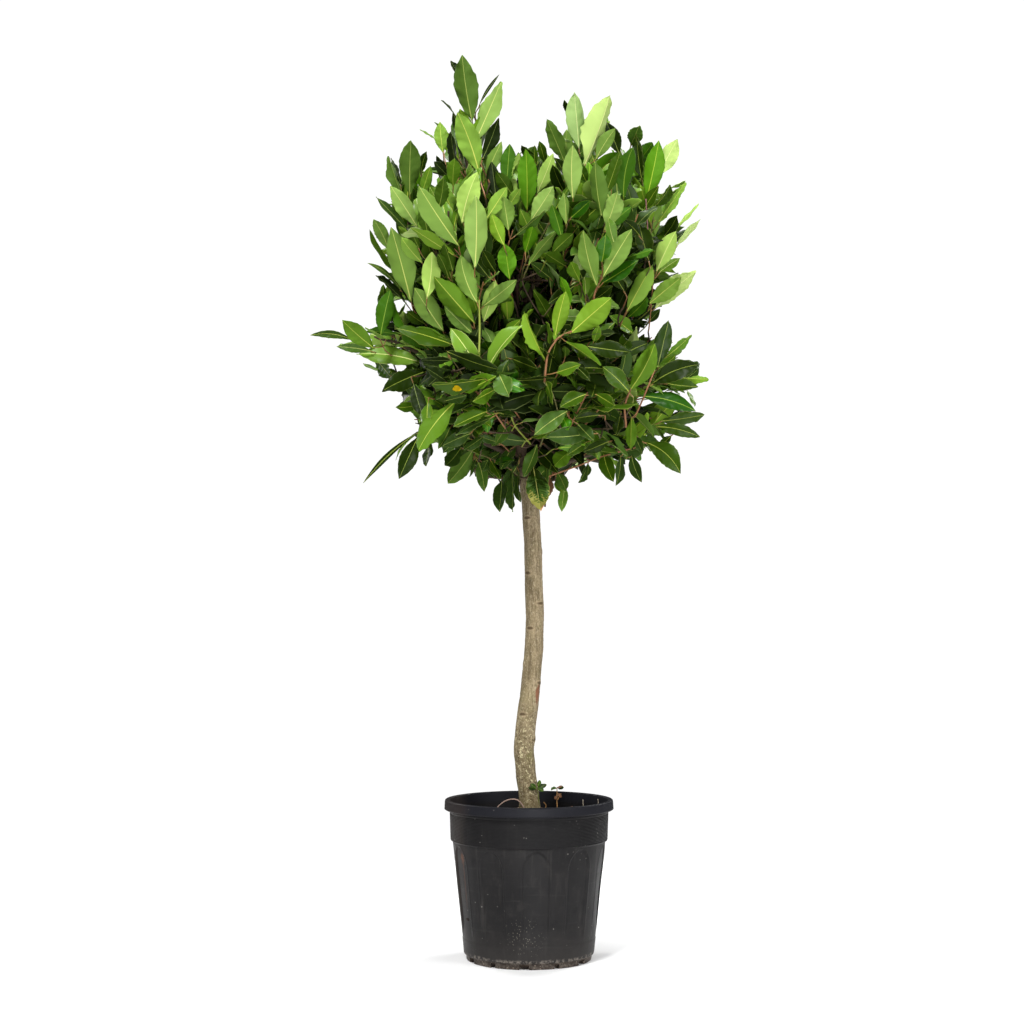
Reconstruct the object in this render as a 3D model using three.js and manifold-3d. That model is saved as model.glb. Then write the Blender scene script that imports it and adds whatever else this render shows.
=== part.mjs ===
// A standard bay tree (a ragged ball of foliage on one clear stem) in a black nursery pot.
// Millimetres, +Z up. The origin is the middle of the pot's flat underside, and -Y is the front.
// Every sub-part is its own named mesh: the pot, the compost in it, the trunk, each bough and each mass of foliage.
import * as THREE from "three";
import { mergeVertices } from "three/addons/utils/BufferGeometryUtils.js";
import Module from "manifold-3d";

const wasm = await Module();
wasm.setup();

// ---------- driving dimensions ----------
const GAP = 0.35; // clearance between pieces that touch
const AROUND = 48; // facets round the pot

const POT = {
  height: 280,
  rimRadius: 148.5, // outside of the rolled rim at its top
  lipRadius: 150, // bottom edge of the rim's skirt
  lipDrop: 17, // height of the skirt
  rimWidth: 8.5,
  skirt: 2.6, // thickness of the skirt
  collarTop: 141, // radius of the collar under the rim
  collarFoot: 139.2,
  collarDrop: 70.5, // from the rim's top to the collar's lower edge
  bodyTop: 135.6,
  bodyFoot: 115.2,
  footHeight: 12,
  footRadius: 110.4,
  wall: 3.2,
  floor: 5,
};
const DRAIN = { count: 12, turn: -94.8, wide: 17, narrow: 9.5, high: 8.5, inner: 97, outer: 125 };
const COMPOST = { depth: 36, mound: 6, moundRadius: 70 };

const SOIL_TOP = POT.height - COMPOST.depth + COMPOST.mound;

const TRUNK = {
  sides: 14,
  segments: 18,
  // height above the pot's underside, sideways lean, and radius
  line: [
    [SOIL_TOP + GAP, 1, 20.5],
    [SOIL_TOP + 8, 1, 19.2],
    [273, 1, 18.4],
    [321, -5, 18.0],
    [367, -9, 18.0],
    [416, -5, 17.9],
    [459, 1, 17.5],
    [512, 6, 17.0],
    [576, 10, 16.5],
    [651, 9, 16.2],
    [736, 7, 15.8],
    [801, 3, 15.5],
    [847, -3, 14.8],
    [892, -10, 13.9],
    [937, -12, 13.0],
    [982, -14, 12.2],
  ],
};

// Masses of foliage: middle, half sizes, and the points that their longest sprays reach.
const MASSES = {
  leader_left: { at: [-110, -20, 1455], size: [56, 64, 140], tips: [[-122, -20, 1605], [-60, -20, 1552]] },
  leader_right: { at: [114, -10, 1425], size: [76, 78, 108], tips: [[78, -10, 1541], [146, 0, 1541]] },
  crest: { at: [4, 10, 1352], size: [72, 96, 98], tips: [[6, 0, 1446]] },
  shoulder_left: { at: [-205, 0, 1300], size: [82, 102, 140], tips: [[-257, 0, 1425], [-280, -30, 1356], [-292, 0, 1236]] },
  shoulder_right: { at: [218, 20, 1316], size: [74, 106, 150], tips: [[265, 20, 1464], [306, 0, 1338], [300, -20, 1217]] },
  upper_front_left: { at: [-112, -165, 1240], size: [104, 98, 146], tips: [[-150, -200, 1365]] },
  upper_front_right: { at: [106, -165, 1235], size: [110, 98, 142], tips: [[120, -190, 1362]] },
  upper_back_left: { at: [-122, 172, 1282], size: [128, 110, 158], tips: [[-150, 210, 1430], [-120, 290, 1300]] },
  upper_back_right: { at: [130, 172, 1282], size: [128, 112, 154], tips: [[150, 200, 1428], [140, 296, 1290]] },
  arm_left: { at: [-262, -20, 1100], size: [98, 92, 46], tips: [[-387, -20, 1104]] },
  arm_right: { at: [218, 0, 1020], size: [84, 112, 116], tips: [[319, 0, 1032], [290, 10, 1116]] },
  low_left: { at: [-164, -30, 950], size: [80, 118, 90], tips: [[-287, -30, 843], [-228, -40, 852]] },
  low_right: { at: [165, 0, 893], size: [112, 104, 56], tips: [[271, 0, 858], [199, 0, 846], [149, 0, 841]] },
  lower_front_left: { at: [-103, -188, 1000], size: [108, 98, 118], tips: [[-130, -280, 1010]] },
  lower_front_right: { at: [84, -188, 1000], size: [108, 98, 120], tips: [[110, -282, 990]] },
  lower_back_left: { at: [-128, 186, 1012], size: [126, 110, 134], tips: [[-160, 292, 1000]] },
  lower_back_right: { at: [117, 186, 1012], size: [126, 110, 134], tips: [[150, 292, 990]] },
  skirt_left: { at: [-74, -15, 856], size: [46, 66, 48], tips: [[-55, -5, 794], [-90, 0, 805]] },
  skirt_right: { at: [64, 4, 860], size: [46, 66, 50], tips: [[58, 10, 796]] },
};
const MASS_DETAIL = 3; // how finely each mass's sphere is divided
const MASS_LUMPS = 16;
const MASS_GAP = 3; // half of the space kept between two masses

// Boughs: the limb that each leaves, the points along it, its radius at each end, and the mass that it feeds.
const BOUGHS = {
  leader_left: { from: "trunk", line: [[-17, 0, 974], [-30, -2, 1030], [-46, 0, 1090], [-54, 0, 1180], [-78, -8, 1280], [-104, -16, 1385]], r: [8.6, 4.4] },
  leader_right: { from: "trunk", line: [[-9, 3, 974], [-12, 6, 1030], [-13, 6, 1100], [8, 4, 1190], [62, -2, 1280], [116, -8, 1385]], r: [8.4, 4.4] },
  low_right: { from: "trunk", line: [[0, 0, 846], [34, -4, 862], [76, -6, 882], [130, -4, 900]], r: [5.6, 3.6] },
  low_left: { from: "trunk", line: [[-8, -4, 884], [-46, -12, 898], [-90, -20, 918], [-150, -28, 942]], r: [5.6, 3.4] },
  arm_left: { from: "trunk", line: [[-12, 0, 944], [-60, -8, 984], [-120, -14, 1036], [-210, -20, 1080]], r: [5.8, 3.4] },
  arm_right: { from: "trunk", line: [[-12, 0, 934], [40, 2, 958], [96, 2, 984], [180, 0, 1010]], r: [5.8, 3.4] },
  lower_front_left: { from: "trunk", line: [[-10, -4, 906], [-34, -50, 934], [-60, -100, 960], [-88, -156, 982]], r: [5.2, 3.2] },
  lower_front_right: { from: "trunk", line: [[-10, -4, 922], [14, -50, 948], [38, -100, 970], [66, -156, 988]], r: [5.2, 3.2] },
  lower_back_left: { from: "trunk", line: [[-10, 4, 896], [-38, 48, 930], [-66, 92, 962], [-106, 148, 990]], r: [5.2, 3.2] },
  lower_back_right: { from: "trunk", line: [[-10, 4, 914], [22, 48, 944], [54, 92, 968], [94, 148, 992]], r: [5.2, 3.2] },
  skirt_left: { from: "trunk", line: [[-4, -4, 838], [-26, -10, 848], [-60, -14, 852]], r: [3.8, 2.6] },
  skirt_right: { from: "trunk", line: [[4, 4, 828], [24, 8, 842], [52, 10, 850]], r: [3.8, 2.6] },
  upper_front_left: { from: "leader_left", line: [[-40, -2, 1072], [-60, -46, 1120], [-84, -92, 1168], [-104, -140, 1214]], r: [5, 3.2] },
  upper_front_right: { from: "leader_right", line: [[-13, 4, 1082], [18, -44, 1124], [52, -92, 1164], [92, -142, 1208]], r: [5, 3.2] },
  upper_back_left: { from: "leader_left", line: [[-48, 0, 1102], [-62, 44, 1148], [-82, 90, 1200], [-108, 142, 1262]], r: [5, 3.2] },
  upper_back_right: { from: "leader_right", line: [[-13, 6, 1112], [24, 50, 1154], [66, 92, 1202], [114, 144, 1262]], r: [5, 3.2] },
  crest: { from: "leader_right", line: [[-14, 6, 1092], [-24, 8, 1150], [-18, 8, 1220], [-4, 8, 1310]], r: [4.6, 3.2] },
  shoulder_left: { from: "leader_left", line: [[-50, 0, 1124], [-90, 0, 1164], [-130, 0, 1210], [-186, 0, 1276]], r: [5, 3.2] },
  shoulder_right: { from: "leader_right", line: [[-10, 6, 1136], [54, 10, 1172], [116, 14, 1214], [204, 18, 1288]], r: [5, 3.2] },
};
const BOUGH_SIDES = 6;
const BOUGH_SEGMENTS = 7;

// ---------- materials ----------
const material = (name, color, roughness) => {
  const m = new THREE.MeshStandardMaterial({ color, roughness, metalness: 0 });
  m.name = name;
  return m;
};
const BLACK_PLASTIC = material("pot_plastic", 0x25262b, 0.45);
const SOIL = material("compost", 0x2b2019, 0.95);
const BARK = material("bark", 0x8a7a55, 0.8);
const BOUGH_BARK = material("bough_bark", 0x5c4a33, 0.75);
const FOLIAGE = material("foliage", 0x3f6a26, 0.5);

// ---------- solids and meshes ----------
// A closed geometry as a solid, with its shared vertices merged.
function solid(geometry) {
  const g = geometry.index ? geometry.toNonIndexed() : geometry.clone();
  g.deleteAttribute("normal");
  g.deleteAttribute("uv");
  const merged = mergeVertices(g, 1e-3);
  const kept = [];
  const index = merged.index.array;
  for (let i = 0; i < index.length; i += 3)
    if (index[i] !== index[i + 1] && index[i + 1] !== index[i + 2] && index[i] !== index[i + 2])
      kept.push(index[i], index[i + 1], index[i + 2]);
  return new wasm.Manifold(
    new wasm.Mesh({
      numProp: 3,
      vertProperties: new Float32Array(merged.attributes.position.array),
      triVerts: new Uint32Array(kept),
    }),
  );
}

// The largest body of a solid, as a geometry.
function geometryOf(made) {
  const bodies = made.decompose().sort((a, b) => b.volume() - a.volume());
  const mesh = bodies[0].getMesh();
  const position = new Float32Array(mesh.numVert * 3);
  for (let i = 0; i < mesh.numVert; i++)
    for (let k = 0; k < 3; k++) position[3 * i + k] = mesh.vertProperties[i * mesh.numProp + k];
  const g = new THREE.BufferGeometry();
  g.setAttribute("position", new THREE.BufferAttribute(position, 3));
  g.setIndex(new THREE.BufferAttribute(new Uint32Array(mesh.triVerts), 1));
  g.computeVertexNormals();
  return g;
}

const tree = new THREE.Group();
function add(name, geometry, look) {
  const mesh = new THREE.Mesh(geometry, look);
  mesh.name = name;
  tree.add(mesh);
}

// ---------- the pot ----------
const bodyRadius = (z) =>
  THREE.MathUtils.mapLinear(z, POT.footHeight, POT.height - POT.collarDrop, POT.bodyFoot, POT.bodyTop);
const innerRadius = (z) => {
  const step = POT.height - POT.collarDrop;
  const inside =
    z < step + 2
      ? bodyRadius(z)
      : THREE.MathUtils.mapLinear(z, step, POT.height, POT.collarFoot - 0.6, POT.collarTop + 0.6);
  return inside - POT.wall;
};

function potProfile() {
  const step = POT.height - POT.collarDrop;
  const lip = POT.height - POT.lipDrop;
  const under = POT.height - 3.2; // underside of the rim's top
  return [
    [0, 0],
    [POT.footRadius, 0],
    [POT.footRadius + 1.4, POT.footHeight - 1.6],
    [POT.bodyFoot, POT.footHeight],
    [bodyRadius(step), step],
    [POT.collarFoot, step + 1.8],
    [POT.collarTop, lip],
    [POT.collarTop + 0.2, under],
    [POT.rimRadius - POT.skirt, under],
    [POT.lipRadius - POT.skirt, lip],
    [POT.lipRadius, lip],
    [POT.rimRadius, POT.height - 1.6],
    [POT.rimRadius - 1.6, POT.height],
    [POT.rimRadius - POT.rimWidth + 1.6, POT.height],
    [POT.rimRadius - POT.rimWidth, POT.height - 1.6],
    [innerRadius(step + 2.1), step + 2.1],
    [innerRadius(step), step],
    [innerRadius(POT.floor + 3), POT.floor + 3],
    [innerRadius(POT.floor) - 3, POT.floor],
    [0, POT.floor],
  ].map(([r, z]) => new THREE.Vector2(r, z));
}

// A profile of radius and height, turned round the Z axis.
function turned(profile, around) {
  const lathe = new THREE.LatheGeometry(profile, around);
  lathe.rotateX(Math.PI / 2); // the lathe's axis is Y
  return lathe;
}

let pot = solid(turned(potProfile(), AROUND));
for (let i = 0; i < DRAIN.count; i++) {
  const width = i % 2 ? DRAIN.narrow : DRAIN.wide;
  const slot = new THREE.BoxGeometry(DRAIN.outer - DRAIN.inner, width, DRAIN.high + 4);
  slot.translate((DRAIN.inner + DRAIN.outer) / 2, 0, (DRAIN.high - 4) / 2);
  slot.rotateZ(THREE.MathUtils.degToRad(DRAIN.turn + (i * 360) / DRAIN.count));
  pot = pot.subtract(solid(slot));
}
add("pot", geometryOf(pot), BLACK_PLASTIC);

// ---------- the compost ----------
const soilEdge = POT.height - COMPOST.depth;
const step = POT.height - POT.collarDrop;
const soil = solid(
  turned(
    [
      [0, POT.floor + GAP],
      [innerRadius(POT.floor) - 3 - GAP, POT.floor + GAP],
      [innerRadius(POT.floor + 3) - GAP, POT.floor + 3 + GAP],
      [innerRadius(step) - GAP, step],
      [innerRadius(step + 4) - 2 * GAP, step + 4],
      [innerRadius(soilEdge) - 2 * GAP, soilEdge],
      [COMPOST.moundRadius, soilEdge + COMPOST.mound * 0.6],
      [30, SOIL_TOP],
      [0, SOIL_TOP],
    ].map(([r, z]) => new THREE.Vector2(r, z)),
    28,
  ),
);
add("compost", geometryOf(soil), SOIL);

// ---------- limbs ----------
// A tapering limb: a cylinder's rings carried along a smooth line. more is added to its radius.
function limb({ line, radii, sides, segments, more = 0, flatFoot = false }) {
  const curve = new THREE.CatmullRomCurve3(
    line.map((p) => new THREE.Vector3(...p)),
    false,
    "centripetal",
  );
  const frames = curve.computeFrenetFrames(segments, false);
  const radiusAt = (t) => {
    const x = t * (radii.length - 1);
    const i = Math.min(Math.floor(x), radii.length - 2);
    return THREE.MathUtils.lerp(radii[i], radii[i + 1], x - i) + more;
  };
  const g = new THREE.CylinderGeometry(1, 1, 1, sides, segments);
  const p = g.attributes.position;
  const v = new THREE.Vector3();
  for (let i = 0; i < p.count; i++) {
    v.fromBufferAttribute(p, i);
    const row = Math.round((v.y + 0.5) * segments);
    const t = curve.getUtoTmapping(row / segments);
    const r = radiusAt(t);
    const [side, up] = flatFoot && row === 0
      ? [new THREE.Vector3(1, 0, 0), new THREE.Vector3(0, 1, 0)]
      : [frames.normals[row], frames.binormals[row]];
    const at = curve
      .getPoint(t)
      .addScaledVector(side, v.x * r)
      .addScaledVector(up, -v.z * r);
    p.setXYZ(i, at.x, at.y, at.z);
  }
  return solid(g);
}

const limbs = {}; // each limb's solid, and the same limb a little fatter
const trunkShape = {
  line: TRUNK.line.map(([z, x]) => [x, 0, z]),
  radii: TRUNK.line.map(([, , r]) => r),
  sides: TRUNK.sides,
  segments: TRUNK.segments,
};
limbs.trunk = { body: limb(trunkShape), fat: limb({ ...trunkShape, more: 2 * GAP }) };

for (const [name, b] of Object.entries(BOUGHS)) {
  const shape = { line: b.line, radii: b.r, sides: BOUGH_SIDES, segments: BOUGH_SEGMENTS };
  let body = limb(shape);
  for (const other of Object.values(limbs)) body = body.subtract(other.fat);
  limbs[name] = { body, fat: limb({ ...shape, more: 2 * GAP }), feeds: name };
}

// ---------- masses of foliage ----------
// A repeatable run of numbers from 0 to 1.
function numbers(seed) {
  let s = seed >>> 0;
  return () => {
    s = (s + 0x6d2b79f5) >>> 0;
    let t = Math.imul(s ^ (s >>> 15), 1 | s);
    t = (t + Math.imul(t ^ (t >>> 7), 61 | t)) ^ t;
    return ((t ^ (t >>> 14)) >>> 0) / 4294967296;
  };
}

// How far an ellipsoid of these half sizes reaches in direction d.
const reach = (d, [a, b, c]) => 1 / Math.hypot(d.x / a, d.y / b, d.z / c);

// A mass: a sphere drawn out to its half sizes, with lumps of its own, drawn to its tips, and held back from every neighbour by the plane between them.
function mass(name, seed, more = 0) {
  const { at, size, tips } = MASSES[name];
  const middle = new THREE.Vector3(...at);
  const random = numbers(seed);
  const lumps = Array.from({ length: MASS_LUMPS }, () => ({
    d: new THREE.Vector3(random() - 0.5, random() - 0.5, random() - 0.5).normalize(),
    high: (random() - 0.5) * 0.5,
    sharp: 8 + 16 * random(),
  }));
  const planes = [];
  for (const [other, m] of Object.entries(MASSES)) {
    if (other === name) continue;
    const way = new THREE.Vector3(...m.at).sub(middle);
    const far = way.length();
    way.divideScalar(far);
    const mine = reach(way, size);
    const theirs = reach(way, m.size);
    planes.push({ way, limit: (far * mine) / (mine + theirs) - MASS_GAP });
  }
  const held = (d) =>
    Math.min(...planes.map(({ way, limit }) => (d.dot(way) > 1e-6 ? limit / d.dot(way) : Infinity)));
  const g = new THREE.IcosahedronGeometry(1, MASS_DETAIL);
  g.deleteAttribute("normal");
  g.deleteAttribute("uv");
  const whole = mergeVertices(g, 1e-4);
  const p = whole.attributes.position;
  const d = new THREE.Vector3();
  const directions = [];
  const lengths = [];
  for (let i = 0; i < p.count; i++) {
    d.fromBufferAttribute(p, i).normalize();
    let r = reach(d, size);
    for (const l of lumps) r *= 1 + l.high * Math.exp(l.sharp * (d.dot(l.d) - 1));
    directions.push(d.clone());
    lengths.push(Math.min(r, held(d)));
  }
  for (const tip of tips) {
    const to = new THREE.Vector3(...tip).sub(middle);
    const far = to.length();
    to.divideScalar(far);
    if (far > held(to)) throw new Error(`${name}: tip ${tip} is past a neighbour, which allows ${held(to).toFixed(0)} of ${far.toFixed(0)}`);
    let best = 0;
    directions.forEach((e, i) => {
      if (e.dot(to) > directions[best].dot(to)) best = i;
    });
    directions[best] = to;
    lengths[best] = far;
  }
  directions.forEach((e, i) => {
    const r = lengths[i] + more;
    p.setXYZ(i, middle.x + e.x * r, middle.y + e.y * r, middle.z + e.z * r);
  });
  return solid(whole);
}

Object.keys(MASSES).forEach((name, k) => {
  let body = mass(name, 101 + 17 * k);
  for (const [other, l] of Object.entries(limbs)) if (other !== name) body = body.subtract(l.fat);
  limbs[name].body = limbs[name].body.subtract(mass(name, 101 + 17 * k, 1));
  add(`mass_${name}`, geometryOf(body), FOLIAGE);
});

add("trunk", geometryOf(limbs.trunk.body), BARK);
for (const name of Object.keys(BOUGHS)) add(`bough_${name}`, geometryOf(limbs[name].body), BOUGH_BARK);

export default tree;
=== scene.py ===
"""The looks of a bay tree grown as a standard, in its black nursery pot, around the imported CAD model.

The pot, the compost, the trunk and the boughs are modelled with their relief. Each mass of foliage gives way to twigs that
grow on from its bough by a seeded rule, and to the leaves on them.
"""

import math

import bpy
import numpy as np
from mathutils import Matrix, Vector
from mathutils.bvhtree import BVHTree
from mathutils.kdtree import KDTree


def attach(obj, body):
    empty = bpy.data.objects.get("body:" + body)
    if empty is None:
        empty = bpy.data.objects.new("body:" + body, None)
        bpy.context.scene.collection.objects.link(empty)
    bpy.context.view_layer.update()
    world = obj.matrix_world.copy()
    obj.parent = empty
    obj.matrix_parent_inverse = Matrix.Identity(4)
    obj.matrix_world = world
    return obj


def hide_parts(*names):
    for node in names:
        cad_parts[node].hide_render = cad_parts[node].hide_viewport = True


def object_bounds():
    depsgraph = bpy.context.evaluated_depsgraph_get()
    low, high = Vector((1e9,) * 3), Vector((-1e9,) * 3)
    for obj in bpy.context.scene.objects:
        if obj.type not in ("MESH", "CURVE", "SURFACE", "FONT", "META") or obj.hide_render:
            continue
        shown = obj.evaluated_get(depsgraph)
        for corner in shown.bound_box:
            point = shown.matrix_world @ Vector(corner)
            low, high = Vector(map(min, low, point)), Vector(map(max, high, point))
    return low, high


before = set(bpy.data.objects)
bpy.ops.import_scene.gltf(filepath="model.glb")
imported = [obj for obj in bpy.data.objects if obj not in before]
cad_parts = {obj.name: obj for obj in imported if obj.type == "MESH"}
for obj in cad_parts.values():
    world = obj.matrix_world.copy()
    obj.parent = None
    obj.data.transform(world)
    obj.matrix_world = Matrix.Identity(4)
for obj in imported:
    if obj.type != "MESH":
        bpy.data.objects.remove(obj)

CAD_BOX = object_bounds()
MM = 0.001


# ---------------------------------------------------------------- small tools
def noise(p, seed=0):
    """Smooth noise from -1 to 1 at each of the points p, an array of N x 3."""
    p = np.asarray(p, float)
    cell = np.floor(p).astype(np.int64)
    f = p - cell
    f = f * f * (3 - 2 * f)
    out = np.zeros(len(p))
    for corner in range(8):
        d = np.array([corner & 1, corner >> 1 & 1, corner >> 2 & 1])
        c = cell + d
        h = (c[:, 0] * 73856093) ^ (c[:, 1] * 19349663) ^ (c[:, 2] * 83492791) ^ (seed * 40503 + 977)
        h &= 0xFFFFFFFF
        for _ in range(2):
            h = ((h ^ (h >> 16)) * 0x45D9F3B) & 0xFFFFFFFF
        h ^= h >> 16
        w = np.prod(np.where(d == 1, f, 1 - f), axis=1)
        out += w * (h / 2147483647.5 - 1)
    return out


def fractal(p, seed=0, octaves=4, gain=0.5):
    out, size, total = 0.0, 1.0, 0.0
    for k in range(octaves):
        out = out + size * noise(np.asarray(p) * 2**k + 13.7 * k, seed + k)
        total += size
        size *= gain
    return out / total


def smoothstep(a, b, x):
    t = np.clip((x - a) / (b - a), 0, 1)
    return t * t * (3 - 2 * t)


def unit(v):
    v = np.asarray(v, float)
    n = np.linalg.norm(v, axis=-1, keepdims=True)
    return v / np.where(n < 1e-12, 1, n)


def make_mesh(name, verts, faces, materials, which=None, smooth=True):
    """A mesh object. faces is a list of index arrays, each M x 3 or M x 4, and which gives each face's material, array by array."""
    faces = [np.asarray(f, np.int32) for f in faces if len(f)]
    me = bpy.data.meshes.new(name)
    verts = np.asarray(verts, np.float32)
    me.vertices.add(len(verts))
    me.vertices.foreach_set("co", verts.ravel())
    loops = np.concatenate([f.ravel() for f in faces])
    sizes = np.concatenate([np.full(len(f), f.shape[1], np.int32) for f in faces])
    me.loops.add(len(loops))
    me.loops.foreach_set("vertex_index", loops)
    me.polygons.add(len(sizes))
    me.polygons.foreach_set("loop_start", np.concatenate([[0], np.cumsum(sizes)[:-1]]).astype(np.int32))
    for m in materials:
        me.materials.append(m)
    if which is not None:
        me.polygons.foreach_set("material_index", np.concatenate(which).astype(np.int32))
    me.polygons.foreach_set("use_smooth", np.full(len(sizes), smooth, bool))
    me.update(calc_edges=True)
    me.validate(clean_customdata=False)
    o = bpy.data.objects.new(name, me)
    bpy.context.scene.collection.objects.link(o)
    return o


def grid_faces(rows, cols, wrap=False, start=0, flip=False):
    """The quads of a grid of vertices, row by row. wrap joins the last column to the first."""
    i, j = np.meshgrid(np.arange(rows - 1), np.arange(cols if wrap else cols - 1), indexing="ij")
    k = (j + 1) % cols
    q = np.stack([i * cols + j, i * cols + k, (i + 1) * cols + k, (i + 1) * cols + j], -1).reshape(-1, 4) + start
    return q[:, ::-1] if flip else q


def smooth_line(points, count):
    """count points evenly along a Catmull-Rom curve through the points."""
    p = np.asarray(points, float)
    p = np.vstack([2 * p[0] - p[1], p, 2 * p[-1] - p[-2]])
    out = []
    for i in range(1, len(p) - 2):
        t = np.linspace(0, 1, 24, endpoint=False)[:, None]
        a, b, c, d = p[i - 1], p[i], p[i + 1], p[i + 2]
        out.append(0.5 * (2 * b + (c - a) * t + (2 * a - 5 * b + 4 * c - d) * t**2 + (3 * b - a - 3 * c + d) * t**3))
    out = np.vstack([*out, p[-2][None]])
    far = np.concatenate([[0], np.cumsum(np.linalg.norm(np.diff(out, axis=0), axis=1))])
    at = np.linspace(0, far[-1], count)
    return np.stack([np.interp(at, far, out[:, k]) for k in range(out.shape[1])], 1)


def carried_frames(line):
    """Tangents and two side vectors that turn as little as they can along the line."""
    tangents = unit(np.gradient(line, axis=0))
    side = np.cross(tangents[0], [0, 1, 0.1])
    if np.linalg.norm(side) < 0.2:
        side = np.cross(tangents[0], [1, 0, 0])
    side = unit(side)
    sides = []
    for t in tangents:
        side = unit(side - t * np.dot(side, t))
        sides.append(side)
    sides = np.array(sides)
    return tangents, sides, np.cross(tangents, sides)


def tube(line, radii, sides, start=0, relief=None, lean_end=0.35):
    """A closed round limb along a line: its vertices, quads and triangles. relief(points, directions, along) is added to the radius."""
    line = np.asarray(line, float)
    radii = np.broadcast_to(radii, (len(line),)).astype(float)
    tangents, u, v = carried_frames(line)
    a = np.linspace(0, 2 * math.pi, sides, endpoint=False)
    d = u[:, None] * np.cos(a)[None, :, None] + v[:, None] * np.sin(a)[None, :, None]
    at = line[:, None] + d * radii[:, None, None]
    if relief is not None:
        along = np.concatenate([[0], np.cumsum(np.linalg.norm(np.diff(line, axis=0), axis=1))])
        at = at + d * relief(at, d, along)[..., None]
    n = len(line)
    verts = at.reshape(-1, 3)
    verts = np.vstack([verts, line[0] - tangents[0] * radii[0] * 0.1, line[-1] + tangents[-1] * radii[-1] * lean_end])
    quads = grid_faces(n, sides, wrap=True, start=start)
    j = np.arange(sides)
    k = (j + 1) % sides
    foot, top = n * sides + start, n * sides + 1 + start
    first = np.stack([np.full(sides, foot), k + start, j + start], 1)
    last = np.stack([np.full(sides, top), (n - 1) * sides + j + start, (n - 1) * sides + k + start], 1)
    return verts, quads, np.vstack([first, last])


class Pile:
    """Gathers tubes and other bits into one mesh."""

    def __init__(self):
        self.verts, self.quads, self.tris, self.quad_mat, self.tri_mat, self.count = [], [], [], [], [], 0

    def add(self, verts, quads, tris, material=0):
        self.verts.append(verts)
        self.quads.append(np.asarray(quads).reshape(-1, 4))
        self.tris.append(np.asarray(tris).reshape(-1, 3))
        self.quad_mat.append(np.full(len(self.quads[-1]), material))
        self.tri_mat.append(np.full(len(self.tris[-1]), material))
        self.count += len(verts)

    def tube(self, line, radii, sides, material=0, **more):
        self.add(*tube(line, radii, sides, start=self.count, **more), material)

    def mesh(self, name, materials):
        return make_mesh(
            name,
            np.vstack(self.verts),
            [np.vstack(self.quads), np.vstack(self.tris)],
            materials,
            [np.concatenate(self.quad_mat), np.concatenate(self.tri_mat)],
        )


# ---------------------------------------------------------------- materials
def plain(name, color, roughness=0.5, specular=0.5, coat=0.0, coat_roughness=0.1, subsurface=0.0, radius=(1, 1, 1), scale=0.002):
    m = bpy.data.materials.new(name)
    m.use_nodes = True
    b = m.node_tree.nodes["Principled BSDF"]
    b.inputs["Base Color"].default_value = (*color, 1)
    b.inputs["Roughness"].default_value = roughness
    b.inputs["Specular IOR Level"].default_value = specular
    b.inputs["Coat Weight"].default_value = coat
    b.inputs["Coat Roughness"].default_value = coat_roughness
    b.inputs["Subsurface Weight"].default_value = subsurface
    b.inputs["Subsurface Radius"].default_value = radius
    b.inputs["Subsurface Scale"].default_value = scale
    m.diffuse_color = (*color, 1)
    return m


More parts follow.
